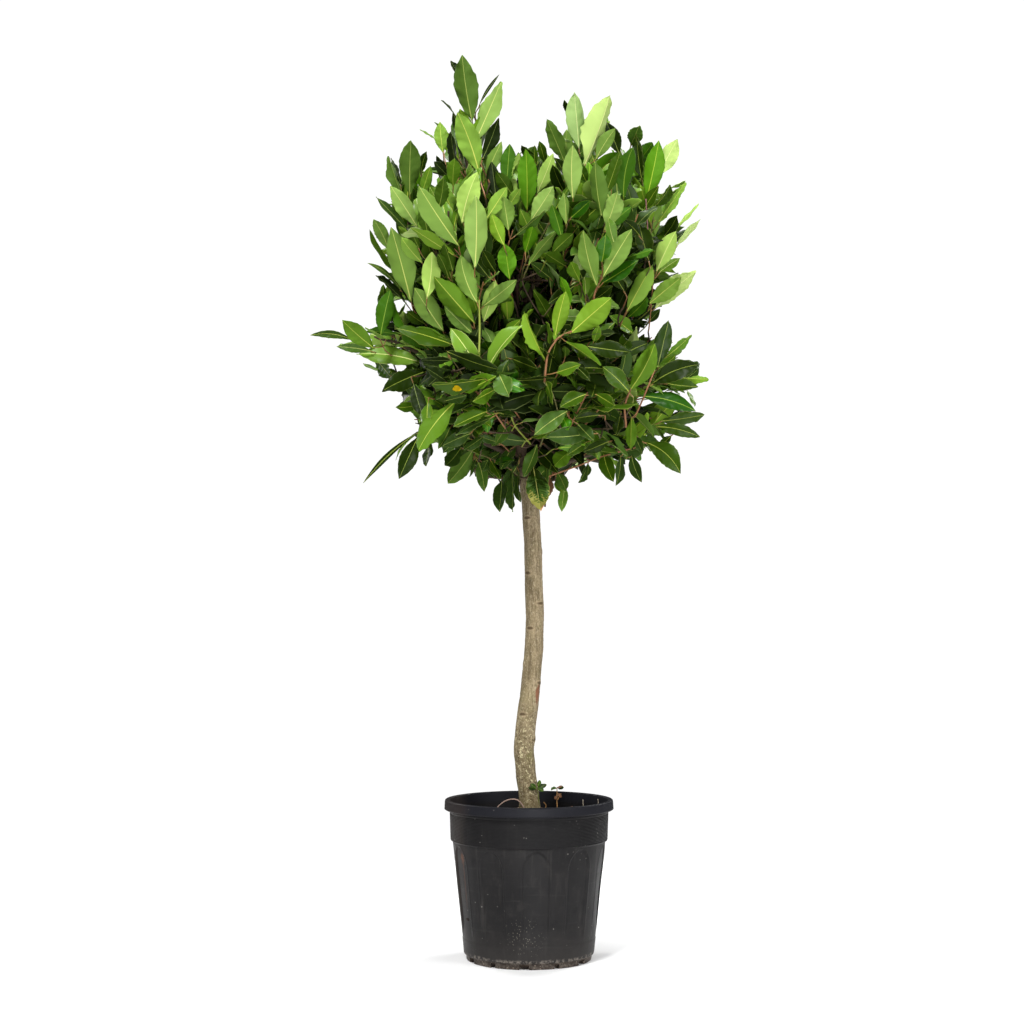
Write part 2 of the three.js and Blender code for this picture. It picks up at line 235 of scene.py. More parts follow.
class Nodes:
    """Short words for building a node tree round a material's Principled shader."""

    def __init__(self, name):
        self.m = bpy.data.materials.new(name)
        self.m.use_nodes = True
        self.t = self.m.node_tree
        self.shader = self.t.nodes["Principled BSDF"]
        self.where = self.node("ShaderNodeTexCoord").outputs["Object"]

    def node(self, kind, **values):
        n = self.t.nodes.new(kind)
        for k, v in values.items():
            setattr(n, k, v)
        return n

    def put(self, socket, value):
        if hasattr(value, "is_linked") or isinstance(value, bpy.types.NodeSocket):
            self.t.links.new(value, socket)
        else:
            socket.default_value = value

    def scaled(self, by, add=(0, 0, 0)):
        n = self.node("ShaderNodeMapping")
        self.put(n.inputs["Vector"], self.where)
        n.inputs["Scale"].default_value = by
        n.inputs["Location"].default_value = add
        return n.outputs["Vector"]

    def noise(self, scale, detail=4.0, roughness=0.55, vector=None, distortion=0.0):
        n = self.node("ShaderNodeTexNoise")
        self.put(n.inputs["Vector"], vector or self.where)
        n.inputs["Scale"].default_value = scale
        n.inputs["Detail"].default_value = detail
        n.inputs["Roughness"].default_value = roughness
        n.inputs["Distortion"].default_value = distortion
        return n.outputs["Fac"]

    def voronoi(self, scale, vector=None, feature="F1", output="Distance", randomness=1.0):
        n = self.node("ShaderNodeTexVoronoi", feature=feature)
        self.put(n.inputs["Vector"], vector or self.where)
        n.inputs["Scale"].default_value = scale
        n.inputs["Randomness"].default_value = randomness
        return n.outputs[output]

    def math(self, op, a, b=0.0, c=0.0, clamp=False):
        n = self.node("ShaderNodeMath", operation=op, use_clamp=clamp)
        self.put(n.inputs[0], a)
        self.put(n.inputs[1], b)
        self.put(n.inputs[2], c)
        return n.outputs[0]

    def ramp(self, value, low, high, a=0.0, b=1.0):
        n = self.node("ShaderNodeMapRange", interpolation_type="SMOOTHSTEP")
        self.put(n.inputs["Value"], value)
        n.inputs["From Min"].default_value = low
        n.inputs["From Max"].default_value = high
        n.inputs["To Min"].default_value = a
        n.inputs["To Max"].default_value = b
        return n.outputs["Result"]

    def mix(self, fac, a, b):
        n = self.node("ShaderNodeMix", data_type="RGBA")
        self.put(n.inputs["Factor"], fac)
        self.put(n.inputs["A"] if False else n.inputs[6], (*a, 1) if isinstance(a, tuple) and len(a) == 3 else a)
        self.put(n.inputs[7], (*b, 1) if isinstance(b, tuple) and len(b) == 3 else b)
        return n.outputs[2]

    def axis(self, k):
        n = self.node("ShaderNodeSeparateXYZ")
        self.put(n.inputs[0], self.where)
        return n.outputs[k]

    def bump(self, height, strength, distance):
        n = self.node("ShaderNodeBump")
        n.inputs["Strength"].default_value = strength
        n.inputs["Distance"].default_value = distance
        self.put(n.inputs["Height"], height)
        self.put(self.shader.inputs["Normal"], n.outputs["Normal"])

    def set(self, **values):
        for k, v in values.items():
            self.put(self.shader.inputs[k.replace("_", " ")], v)


# ---------------------------------------------------------------- stage, light and camera
CAMERA = (-0.030, -3.4, 0.640)
PITCH = math.radians(2.526)


def build_stage():
    scene = bpy.context.scene
    world = bpy.data.worlds.new("studio")
    world.use_nodes = True
    tree = world.node_tree
    soft = tree.nodes["Background"]  # the light of the room
    soft.inputs["Color"].default_value = (1, 1, 1, 1)
    soft.inputs["Strength"].default_value = 0.105
    paper = tree.nodes.new("ShaderNodeBackground")  # the white paper behind
    paper.inputs["Color"].default_value = (1, 1, 1, 1)
    paper.inputs["Strength"].default_value = 1.05
    path = tree.nodes.new("ShaderNodeLightPath")
    mix = tree.nodes.new("ShaderNodeMixShader")
    tree.links.new(path.outputs["Is Camera Ray"], mix.inputs[0])
    tree.links.new(soft.outputs[0], mix.inputs[1])
    tree.links.new(paper.outputs[0], mix.inputs[2])
    tree.links.new(mix.outputs[0], tree.nodes["World Output"].inputs["Surface"])
    scene.world = world
    scene.view_settings.view_transform = "Standard"
    scene.view_settings.look = "None"

    floor_mat = plain("floor_paper", (0.95, 0.95, 0.95), roughness=0.95, specular=0.0)
    turn = np.linspace(0, 2 * math.pi, 96, endpoint=False)
    rim = np.stack([1.25 * np.cos(turn), 1.25 * np.sin(turn), 0 * turn], 1)
    fan = np.stack([np.full(96, 96), np.arange(96), (np.arange(96) + 1) % 96], 1)
    floor = make_mesh("floor", np.vstack([rim, [[0, 0, 0]]]), [fan], [floor_mat], smooth=False)

    def area(name, at, aim, size, power, color=(1, 1, 1)):
        light = bpy.data.lights.new(name, "AREA")
        light.shape = "DISK"
        light.size = size
        light.energy = power
        light.color = color
        o = bpy.data.objects.new(name, light)
        o.location = at
        o.rotation_euler = (Vector(aim) - Vector(at)).to_track_quat("-Z", "Y").to_euler()
        scene.collection.objects.link(o)

    area("key", (-1.3, -3.0, 4.0), (0, 0, 0.9), 1.1, 187)
    area("fill", (2.9, -2.6, 2.3), (0, 0, 0.8), 1.6, 66)
    area("low", (0.4, -3.3, 0.35), (0, 0, 0.95), 1.5, 60)
    area("top", (0.3, 0.5, 4.4), (0, 0, 0.9), 1.4, 130)
    area("back_left", (-2.4, 2.2, 2.6), (0, 0, 1.0), 1.4, 58)
    area("back_right", (2.4, 2.2, 2.6), (0, 0, 1.0), 1.4, 68)

    camera = bpy.data.cameras.new("camera")
    camera.sensor_width = 36
    camera.lens = 36 * 1904 / 1024
    camera.clip_start = 0.05
    camera.clip_end = 60
    o = bpy.data.objects.new("camera", camera)
    o.location = CAMERA
    o.rotation_euler = (math.pi / 2 + PITCH, 0, 0)
    scene.collection.objects.link(o)
    scene.camera = o


# ---------------------------------------------------------------- the pot
POT = dict(height=280, foot=12, step=209.5, lip=263)
ARCHES, ARCH_TURN, ARCH_HALF = 10, 5.0, 10.75
NOTCHES, NOTCH_TURN = 12, -4.8


def pot_material():
    n = Nodes("pot_black_plastic")
    x, y, z = n.axis(0), n.axis(1), n.axis(2)
    cloud = n.noise(9, 5, 0.6)
    blotch = n.noise(34, 5, 0.7)
    streak = n.noise(1, 4, 0.6, n.scaled((90, 90, 7)))
    ringed = n.noise(1, 4, 0.6, n.scaled((14, 14, 150)))
    fine = n.noise(190, 4, 0.7)
    tone = n.mix(n.ramp(cloud, 0.3, 0.75), (0.0110, 0.0106, 0.0111), (0.0174, 0.0166, 0.0169))
    tone = n.mix(n.ramp(blotch, 0.52, 0.75, 0, 0.55), tone, (0.028, 0.026, 0.025))
    tone = n.mix(n.ramp(blotch, 0.42, 0.26, 0, 0.6), tone, (0.006, 0.006, 0.0065))
    tone = n.mix(n.ramp(streak, 0.54, 0.8, 0, 0.55), tone, (0.040, 0.037, 0.035))
    tone = n.mix(n.ramp(ringed, 0.58, 0.8, 0, 0.35), tone, (0.036, 0.034, 0.033))
    # darker round the collar, lighter and bluish on the rim as a painted sheen of the glossy lip, dusty towards the
    # foot, and brown on the left
    tone = n.mix(n.ramp(z, 0.206, 0.211, 0, 0.60), tone, (0.0054, 0.0052, 0.0057))
    # painted sheen: the lip gets a lighter, bluish tone than the collar under it
    tone = n.mix(n.ramp(z, 0.257, 0.268, 0, 0.7), tone, (0.0125, 0.0130, 0.0175))
    low = n.math("ADD", z, n.math("MULTIPLY", n.math("SUBTRACT", n.noise(22, 5, 0.7), 0.5), 0.055))
    tone = n.mix(n.ramp(low, 0.085, 0.005, 0, 0.50), tone, (0.042, 0.038, 0.035))
    side = n.math("ADD", x, n.math("MULTIPLY", n.math("SUBTRACT", n.noise(16, 5, 0.7), 0.5), 0.05))
    tone = n.mix(n.ramp(side, -0.100, -0.128, 0, 0.40), tone, (0.042, 0.031, 0.025))
    # a dusty tide mark at the foot of the wall, and soil stuck to the foot
    wave = n.math("MULTIPLY", n.math("SUBTRACT", n.noise(40, 4, 0.7), 0.5), 0.010)
    foot = n.math("ADD", z, wave)
    dust = n.math("MULTIPLY", n.ramp(foot, 0.0185, 0.0135), n.ramp(n.noise(130, 4, 0.75), 0.44, 0.60))
    tone = n.mix(n.math("MULTIPLY", dust, 0.75), tone, (0.20, 0.175, 0.150))
    tone = n.mix(n.ramp(z, 0.0125, 0.0105, 0, 0.55), tone, (0.050, 0.036, 0.027))
    crumb = n.ramp(n.voronoi(210), 0.34, 0.16)
    tone = n.mix(n.math("MULTIPLY", n.math("MULTIPLY", crumb, n.ramp(z, 0.013, 0.010)), n.ramp(blotch, 0.42, 0.56, 0, 0.85)), tone, (0.23, 0.19, 0.15))
    # pale specks: few on the wall, many low on the front
    specks = n.ramp(n.voronoi(120), 0.20, 0.10)
    rare = n.ramp(n.noise(48, 2), 0.58, 0.66)
    tone = n.mix(n.math("MULTIPLY", specks, n.math("MULTIPLY", rare, 0.55)), tone, (0.20, 0.19, 0.175))
    spot = n.node("ShaderNodeVectorMath", operation="DISTANCE")
    n.put(spot.inputs[0], n.where)
    spot.inputs[1].default_value = (-0.010, -0.120, 0.056)
    patch = n.math("ADD", spot.outputs["Value"], n.math("MULTIPLY", n.math("SUBTRACT", n.noise(60, 4), 0.5), 0.03))
    grit = n.math("MULTIPLY", n.ramp(patch, 0.046, 0.012), n.ramp(n.voronoi(250), 0.26, 0.10))
    tone = n.mix(n.math("MULTIPLY", grit, 0.5), tone, (0.24, 0.22, 0.18))
    # a rust stain on the left, run down the wall
    spot = n.node("ShaderNodeVectorMath", operation="DISTANCE")
    n.put(spot.inputs[0], n.scaled((1, 1, 0.62)))
    spot.inputs[1].default_value = (-0.1190, -0.0600, 0.181 * 0.62)
    rust = n.math("ADD", spot.outputs["Value"], n.math("MULTIPLY", n.math("SUBTRACT", n.noise(110, 4), 0.5), 0.014))
    tone = n.mix(n.ramp(rust, 0.0085, 0.0035, 0, 0.85), tone, (0.095, 0.038, 0.020))
    turn = n.math("ADD", n.math("ARCTAN2", y, x), n.math("MULTIPLY", n.math("SUBTRACT", n.noise(50, 3), 0.5), 0.02))
    run = n.math("ABSOLUTE", n.math("ADD", turn, 2.666))
    run = n.math("MULTIPLY", n.ramp(run, 0.018, 0.007), n.math("MULTIPLY", n.ramp(z, 0.085, 0.125), n.ramp(z, 0.186, 0.176)))
    tone = n.mix(n.math("MULTIPLY", run, 0.5), tone, (0.085, 0.038, 0.022))
    n.set(Base_Color=tone, Roughness=n.ramp(n.math("ADD", cloud, n.math("MULTIPLY", fine, 0.3)), 0.4, 0.95, 0.40, 0.58))
    n.shader.inputs["Specular IOR Level"].default_value = 0.10
    n.bump(n.math("ADD", fine, n.math("ADD", n.math("MULTIPLY", streak, 0.6), n.math("MULTIPLY", blotch, 0.8))), 0.22, 0.0012)
    return n.m


def build_pot():
    around = 540
    a = np.linspace(0, 2 * math.pi, around, endpoint=False)
    # 0 degrees is the front and positive is to the right, seen from the front
    turn = np.degrees(np.arctan2(np.cos(a), -np.sin(a)))

    def wall(z):
        return 115.2 + (135.6 - 115.2) * (z - 12) / (209.5 - 12)

    rows = []  # radius, height, share of the relief

    def run(r0, z0, r1, z1, count, relief=0.0):
        for t in np.linspace(0, 1, count, endpoint=False):
            rows.append((r0 + (r1 - r0) * t, z0 + (z1 - z0) * t, relief))

    run(0.5, 0, 104, 0, 6)
    run(104, 0, 109.2, 0, 2)
    run(109.2, 0, 110.2, 0.8, 2)
    run(110.2, 0.8, 111.6, 10.2, 6)
    run(111.6, 10.2, 114.6, 11.4, 3)
    run(114.6, 11.4, wall(13.2), 13.2, 2)
    run(wall(13.2), 13.2, wall(38), 38, 10, 1)
    run(wall(38), 38, wall(40) - 0.6, 40, 2, 1)
    run(wall(40) - 0.6, 40, wall(208.2), 208.2, 100, 1)
    run(wall(208.2), 208.2, 138.6, 209.2, 3)
    run(138.6, 209.2, 139.3, 210.4, 2)
    for k in range(19):  # fine rings moulded round the collar
        z = 212.5 + 2.45 * k
        r = 139.3 + (141 - 139.3) * (z - 210.4) / (262 - 210.4)
        rows += [(r, z - 0.85, 0), (r - 0.42, z - 0.35, 0), (r - 0.42, z + 0.35, 0), (r, z + 0.85, 0)]
    run(140.9, 260.5, 141.2, 276, 5)
    run(141.2, 276, 146.4, 276.4, 2)
    run(146.9, 275.5, 147.6, 264, 4)
    run(147.8, 263.2, 149.4, 263.0, 3)
    run(150.0, 263.8, 149.2, 277.2, 8)
    for t in np.linspace(0, math.pi / 2, 6):
        rows.append((146.9 + 2.1 * math.cos(t), 277.6 + 2.3 * math.sin(t), 0))
    run(146.0, 279.9, 142.4, 279.9, 3)
    for t in np.linspace(math.pi / 2, math.pi, 5):
        rows.append((142.0 + 1.9 * math.cos(t), 278.0 + 1.9 * math.sin(t), 0))
    run(139.9, 276, 135.6, 212, 14)
    run(135.2, 211.0, wall(209) - 3.2, 208.5, 3)
    run(wall(206) - 3.2, 206, wall(10) - 3.2, 10, 12)
    run(108.5, 5.2, 0.5, 5.0, 6)
    rows = np.array(rows)
    r = np.repeat(rows[:, :1], around, 1)
    z = np.repeat(rows[:, 1:2], around, 1)
    relief = rows[:, 2:3]

    # arched panels, sunk into the wall, with a soft raised edge
    from_middle = (turn - ARCH_TURN + 18) % 36 - 18
    s = np.abs(np.radians(from_middle))[None] * r
    half = np.radians(ARCH_HALF) * r
    top = np.clip((z - 167) / 36, 0, 1)
    edge = half * np.sqrt(np.clip(1 - top**2, 0, 1))
    inside = edge - s
    inside = np.where(z > 203, -9, inside)
    fade = smoothstep(42, 78, z)
    sunk = smoothstep(-0.2, 2.4, inside) * 2.6
    lip = np.exp(-(((inside + 1.4) / 1.6) ** 2)) * 0.55
    r = r + relief * fade * (lip - sunk)
    # the wall is a little wavy, and the rim is not quite round
    pts = np.stack([np.cos(a)[None] * 2.2 + 0 * z, np.sin(a)[None] * 2.2 + 0 * z, z / 60], -1).reshape(-1, 3)
    wave = fractal(pts, 5, 3).reshape(z.shape)
    r = r + 0.55 * wave * smoothstep(14, 60, z) * (rows[:, 1:2] > 5.5)
    # mould seams on the collar
    for at in (-21.5, 39.0, 158.5, -141):
        off = np.radians((turn - at + 180) % 360 - 180)[None] * r
        r = r + 0.5 * np.exp(-((off / 0.9) ** 2)) * smoothstep(209, 211, z) * (1 - smoothstep(259, 261, z)) * (r > 137.5)
    verts = np.stack([np.cos(a)[None] * r, np.sin(a)[None] * r, z], -1).reshape(-1, 3) * MM
    n = len(rows)
    verts = np.vstack([verts, [[0, 0, 0], [0, 0, 5.0 * MM]]])
    quads = grid_faces(n, around, wrap=True)
    j = np.arange(around)
    k = (j + 1) % around
    under = np.stack([np.full(around, n * around), k, j], 1)
    floor = np.stack([np.full(around, n * around + 1), (n - 1) * around + j, (n - 1) * around + k], 1)
    pot = make_mesh("pot_shell", verts, [quads, np.vstack([under, floor])], [pot_material()])

    # the drain notches through the foot
    cutters = Pile()
    for i in range(NOTCHES):
        wide = 9.5 if i % 2 else 17.0
        t = math.radians(NOTCH_TURN + i * 30)
        out = np.array([math.sin(t), -math.cos(t), 0])
        side = np.array([math.cos(t), math.sin(t), 0])
        box = []
        for zz in (-3, 8.6):
            for q, w in ((98, -1), (126, -1), (126, 1), (98, 1)):
                box.append((out * q + side * w * wide / 2 + np.array([0, 0, zz])) * MM)
        f = np.array([[0, 3, 2, 1], [4, 5, 6, 7], [0, 1, 5, 4], [1, 2, 6, 5], [2, 3, 7, 6], [3, 0, 4, 7]]) + cutters.count
        cutters.add(np.array(box), f, np.zeros((0, 3), int))
    tool = cutters.mesh("notch_tool", [])
    cut = pot.modifiers.new("notches", "BOOLEAN")
    cut.operation = "DIFFERENCE"
    cut.solver = "EXACT"
    cut.object = tool
    apply_modifiers(pot)
    bpy.data.objects.remove(tool, do_unlink=True)
    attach(pot, "root")
    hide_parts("pot")
    return pot


def apply_modifiers(o):
    got = bpy.context.evaluated_depsgraph_get()
    me = bpy.data.meshes.new_from_object(o.evaluated_get(got))
    old = o.data
    o.modifiers.clear()
    o.data = me
    bpy.data.meshes.remove(old)


# ---------------------------------------------------------------- the compost
def compost_material():
    n = Nodes("compost_dark")
    a = n.noise(60, 6, 0.7)
    b = n.voronoi(140)
    tone = n.mix(n.ramp(a, 0.35, 0.7), (0.012, 0.008, 0.006), (0.055, 0.036, 0.024))
    tone = n.mix(n.ramp(b, 0.12, 0.05, 0, 0.5), tone, (0.11, 0.085, 0.06))
    n.set(Base_Color=tone, Roughness=0.95)
    n.shader.inputs["Specular IOR Level"].default_value = 0.2
    n.bump(n.math("ADD", a, b), 0.6, 0.003)
    return n.m


def build_compost():
    rng = np.random.default_rng(11)
    around, rings = 220, 90
    a = np.linspace(0, 2 * math.pi, around, endpoint=False)
    r = np.concatenate([np.linspace(0, 1, rings + 1)[1:] ** 0.8 * 135.9])
    rr = np.repeat(r[:, None], around, 1)
    x, y = np.cos(a)[None] * rr, np.sin(a)[None] * rr
    base = 244 + 6 * (1 - smoothstep(25, 125, rr))
    p = np.stack([x / 14, y / 14, 0 * x], -1).reshape(-1, 3)
    rough = fractal(p, 3, 5, 0.62).reshape(x.shape) * 3.2 + np.abs(fractal(p * 3.1, 9, 3).reshape(x.shape)) * 2.4
    z = base + rough - 1.5
    top = np.stack([x, y, z], -1).reshape(-1, 3)
    # down the wall of the pot and across its floor
    low = []
    for radius, height in ((135.0, 212), (131.8, 206), (112.0, 12), (108, 5.6)):
        low.append(np.stack([np.cos(a) * radius, np.sin(a) * radius, np.full(around, height)], 1))
    verts = np.vstack([top, *low, [[0, 0, 250.5], [0, 0, 5.6]]]) * MM
    n = rings + 4
    quads = grid_faces(n, around, wrap=True, flip=True)
    j = np.arange(around)
    k = (j + 1) % around
    crown = np.stack([np.full(around, n * around), j, k], 1)
    under = np.stack([np.full(around, n * around + 1), (n - 1) * around + k, (n - 1) * around + j], 1)
    soil = make_mesh("compost_bed", verts, [quads, np.vstack([crown, under])], [compost_material()])
    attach(soil, "root")
    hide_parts("compost")


def build_litter(mats):
    """What lies and grows on the compost: a root, dry stalks, dead leaves, two weeds, and a sprout at the foot of the trunk."""
    rng = np.random.default_rng(31)
    pile = Pile()

    def blade(base, tip, wide, tint, face=(0, -0.35, 0.9), bend=-0.4):
        base, tip = np.array(base, float) * MM, np.array(tip, float) * MM
        T = unit(tip - base)
        N = np.array(face, float)
        N = unit(N - T * np.dot(T, N))
        return dict(
            base=base, T=T, N=N, L=float(np.linalg.norm(tip - base)), W=wide * MM, bend=bend, twist=rng.normal(0, 0.3),
            fold=0.25, seed=rng.uniform(0, 1), tint=tint, margin=0, sweep=0.0,
        )

    leaves = [
        # the sprout on the right of the trunk
        blade((15, -17, 300), (31, -19, 308), 10, "dark", (0.2, -0.8, 0.5)),
        blade((15, -17, 301), (26, -24, 297), 9, "deep_grey", (0.2, -0.8, 0.5)),
        blade((13, -18, 300), (3, -25, 309), 9, "deep_grey", (-0.2, -0.9, 0.4)),
        blade((13, -18, 299), (-1, -22, 303), 8, "dark", (-0.2, -0.9, 0.4)),
        blade((16, -16, 302), (19, -18, 315), 7, "deep", (0, -1, 0.2)),
        # a weed
        blade((50, 2, 299), (39, -2, 297), 9, "deep_grey", (-0.3, -0.7, 0.7)),
        blade((50, 2, 299), (62, 0, 301), 10, "dark", (0.3, -0.7, 0.7)),
        blade((50, 2, 300), (58, -8, 304), 8, "brown", (0.2, -0.7, 0.7)),
        blade((51, 2, 290), (58, 0, 283), 6, "brown", (0.3, -0.9, 0.4)),
        blade((51, 2, 286), (46, 0, 279), 6, "brown", (0.3, -0.9, 0.4)),
    ]
    for k in range(26):  # fallen leaves, brown and curled, flat on the compost
        t, r = rng.uniform(0, 6.28), rng.uniform(35, 118)
        at = np.array([r * math.cos(t), r * math.sin(t), 251.0 + 4 * (1 - smoothstep(25, 125, r))])
        w = rng.uniform(0, 6.28)
        L = rng.uniform(24, 48)
        leaves.append(
            blade(at, at + L * np.array([math.cos(w), math.sin(w), rng.uniform(-0.05, 0.04)]), L * 0.36, "brown" if k % 3 else "dark", (0, 0, 1), 0.3)
        )
        if math.hypot(*(at + L * np.array([math.cos(w), math.sin(w), 0]))[:2]) > 130:
            leaves.pop()
    for l in leaves:
        l["stem"] = l["base"]
    verts, quads, tris, qm, tm = leaf_batch(leaves, 1)
    pile.verts.append(verts)
    pile.quads.append(quads)
    pile.tris.append(tris)
    pile.quad_mat.append(qm)
    pile.tri_mat.append(tm)
    pile.count = len(verts)

    def stalk(points, r0, r1, material):
        line = smooth_line(np.array(points, float) * MM, 16)
        pile.tube(line, np.linspace(r0, r1, 16) * MM, 6, material)

    first = len(mats)
    stalk([(18, -4, 262), (17, -12, 284), (15, -17, 301)], 1.2, 0.8, first)
    stalk([(52, 4, 240), (50, 3, 272), (50, 2, 300)], 1.1, 0.7, first + 1)
    stalk([(51, 3, 278), (55, 1, 287), (57, 0, 289)], 0.8, 0.5, first + 1)
    stalk([(98, 6, 240), (97, 4, 262), (96, 3, 279)], 0.9, 0.5, first + 2)
    stalk([(126, 10, 240), (124, 8, 262), (123, 6, 279)], 0.9, 0.5, first + 2)
    stalk([(-6, -14, 262), (-20, -18, 280), (-40, -16, 279), (-58, -12, 264), (-66, -10, 245)], 1.3, 0.8, first + 3)
    stalk([(22, -6, 250), (30, -10, 268), (26, -14, 276)], 1.4, 0.7, first + 1)
    for k in range(30):  # bits of bark and twig
        t, r = rng.uniform(0, 6.28), rng.uniform(28, 128)
        at = np.array([r * math.cos(t), r * math.sin(t), 250.5 + 5 * (1 - smoothstep(25, 125, r))])
        w, L = rng.uniform(0, 6.28), rng.uniform(6, 20)
        far = at + L * np.array([math.cos(w), math.sin(w), rng.uniform(-0.05, 0.2)])
        if math.hypot(far[0], far[1]) < 131:
            stalk([at, (at + far) / 2 + rng.normal(0, 0.8, 3), far], rng.uniform(0.9, 1.8), rng.uniform(0.6, 1.3), first + int(rng.integers(1, 4)))
    o = pile.mesh(
        "litter",
        mats
        + [
            plain("weed_green", (0.16, 0.17, 0.05), roughness=0.6, specular=0.2),
            plain("weed_tan", (0.30, 0.16, 0.06), roughness=0.7, specular=0.2),
            plain("weed_dry", (0.42, 0.36, 0.28), roughness=0.8, specular=0.2),
            plain("root_pale", (0.36, 0.25, 0.20), roughness=0.7, specular=0.2),
        ],
    )
    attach(o, "root")


# ---------------------------------------------------------------- trunk and boughs
TRUNK = [  # height, sideways lean, radius
    (244, 1, 22.5), (250, 1, 20.8), (258, 1, 19.4), (273, 1, 18.4), (296, -1, 18.0), (321, -5, 18.0), (342, -7, 17.9),
    (367, -9, 17.9), (393, -7, 17.9), (416, -5, 17.9), (437, -2, 17.8), (459, 1, 17.4), (480, 3, 17.2), (512, 6, 16.8),
    (544, 9, 16.5), (576, 10, 16.3), (608, 11, 16.3), (651, 9, 16.1), (694, 8, 15.9), (736, 7, 15.7), (769, 5, 15.6),
    (801, 3, 15.4), (847, -3, 14.7), (892, -10, 13.8), (937, -12, 12.9), (976, -14, 12.1), (996, -15, 9.5),
]
BOUGHS = {
    "leader_left": ([(-16, 0, 950), (-19, 0, 985), (-30, -2, 1030), (-46, 0, 1090), (-54, 0, 1180), (-78, -8, 1280), (-104, -16, 1385)], (9.4, 4.4)),
    "leader_right": ([(-12, 2, 950), (-9, 4, 985), (-12, 6, 1030), (-13, 6, 1100), (8, 4, 1190), (62, -2, 1280), (116, -8, 1385)], (9.2, 4.4)),
    "low_right": ([(0, 0, 846), (34, -4, 862), (76, -6, 882), (130, -4, 900)], (5.6, 3.6)),
    "low_left": ([(-8, -4, 884), (-46, -12, 898), (-90, -20, 918), (-150, -28, 942)], (5.6, 3.4)),
    "arm_left": ([(-12, 0, 944), (-60, -8, 984), (-120, -14, 1036), (-210, -20, 1080)], (5.8, 3.4)),
    "arm_right": ([(-12, 0, 934), (40, 2, 958), (96, 2, 984), (180, 0, 1010)], (5.8, 3.4)),
    "lower_front_left": ([(-10, -4, 906), (-34, -50, 934), (-60, -100, 960), (-88, -156, 982)], (5.2, 3.2)),
    "lower_front_right": ([(-10, -4, 922), (14, -50, 948), (38, -100, 970), (66, -156, 988)], (5.2, 3.2)),
    "lower_back_left": ([(-10, 4, 896), (-38, 48, 930), (-66, 92, 962), (-106, 148, 990)], (5.2, 3.2)),
    "lower_back_right": ([(-10, 4, 914), (22, 48, 944), (54, 92, 968), (94, 148, 992)], (5.2, 3.2)),
    "skirt_left": ([(-4, -4, 838), (-26, -10, 848), (-60, -14, 852)], (3.8, 2.6)),
    "skirt_right": ([(4, 4, 828), (24, 8, 842), (52, 10, 850)], (3.8, 2.6)),
    "upper_front_left": ([(-40, -2, 1072), (-60, -46, 1120), (-84, -92, 1168), (-104, -140, 1214)], (5, 3.2)),
    "upper_front_right": ([(-13, 4, 1082), (18, -44, 1124), (52, -92, 1164), (92, -142, 1208)], (5, 3.2)),
    "upper_back_left": ([(-48, 0, 1102), (-62, 44, 1148), (-82, 90, 1200), (-108, 142, 1262)], (5, 3.2)),
    "upper_back_right": ([(-13, 6, 1112), (24, 50, 1154), (66, 92, 1202), (114, 144, 1262)], (5, 3.2)),
    "crest": ([(-14, 6, 1092), (-24, 8, 1150), (-18, 8, 1220), (-4, 8, 1310)], (4.6, 3.2)),
    "shoulder_left": ([(-50, 0, 1124), (-90, 0, 1164), (-130, 0, 1210), (-186, 0, 1276)], (5, 3.2)),
    "shoulder_right": ([(-10, 6, 1136), (54, 10, 1172), (116, 14, 1214), (204, 18, 1288)], (5, 3.2)),
}
# knots and scars of cut twigs on the trunk: height, angle from the front (positive right), size, height of the bump
KNOTS = [
    (779, -29, 7, 2.0), (681, -40, 6, 1.6), (627, 38, 7, 2.4), (583, -30, 8, 2.6), (486, 57, 8, 2.4), (431, -28, 7, 2.2),
    (385, 60, 9, 3.0), (363, -16, 10, 3.2), (304, 24, 8, 2.6), (280, 11, 6, -2.2), (520, -70, 6, 1.4), (460, 150, 8, 2.0),
    (640, 170, 8, 2.2), (720, 110, 7, 1.8), (560, -130, 8, 2.2), (380, -150, 8, 2.0), (820, 60, 6, 1.5), (300, 120, 8, 2.0),
    (870, -150, 6, 1.6),
]


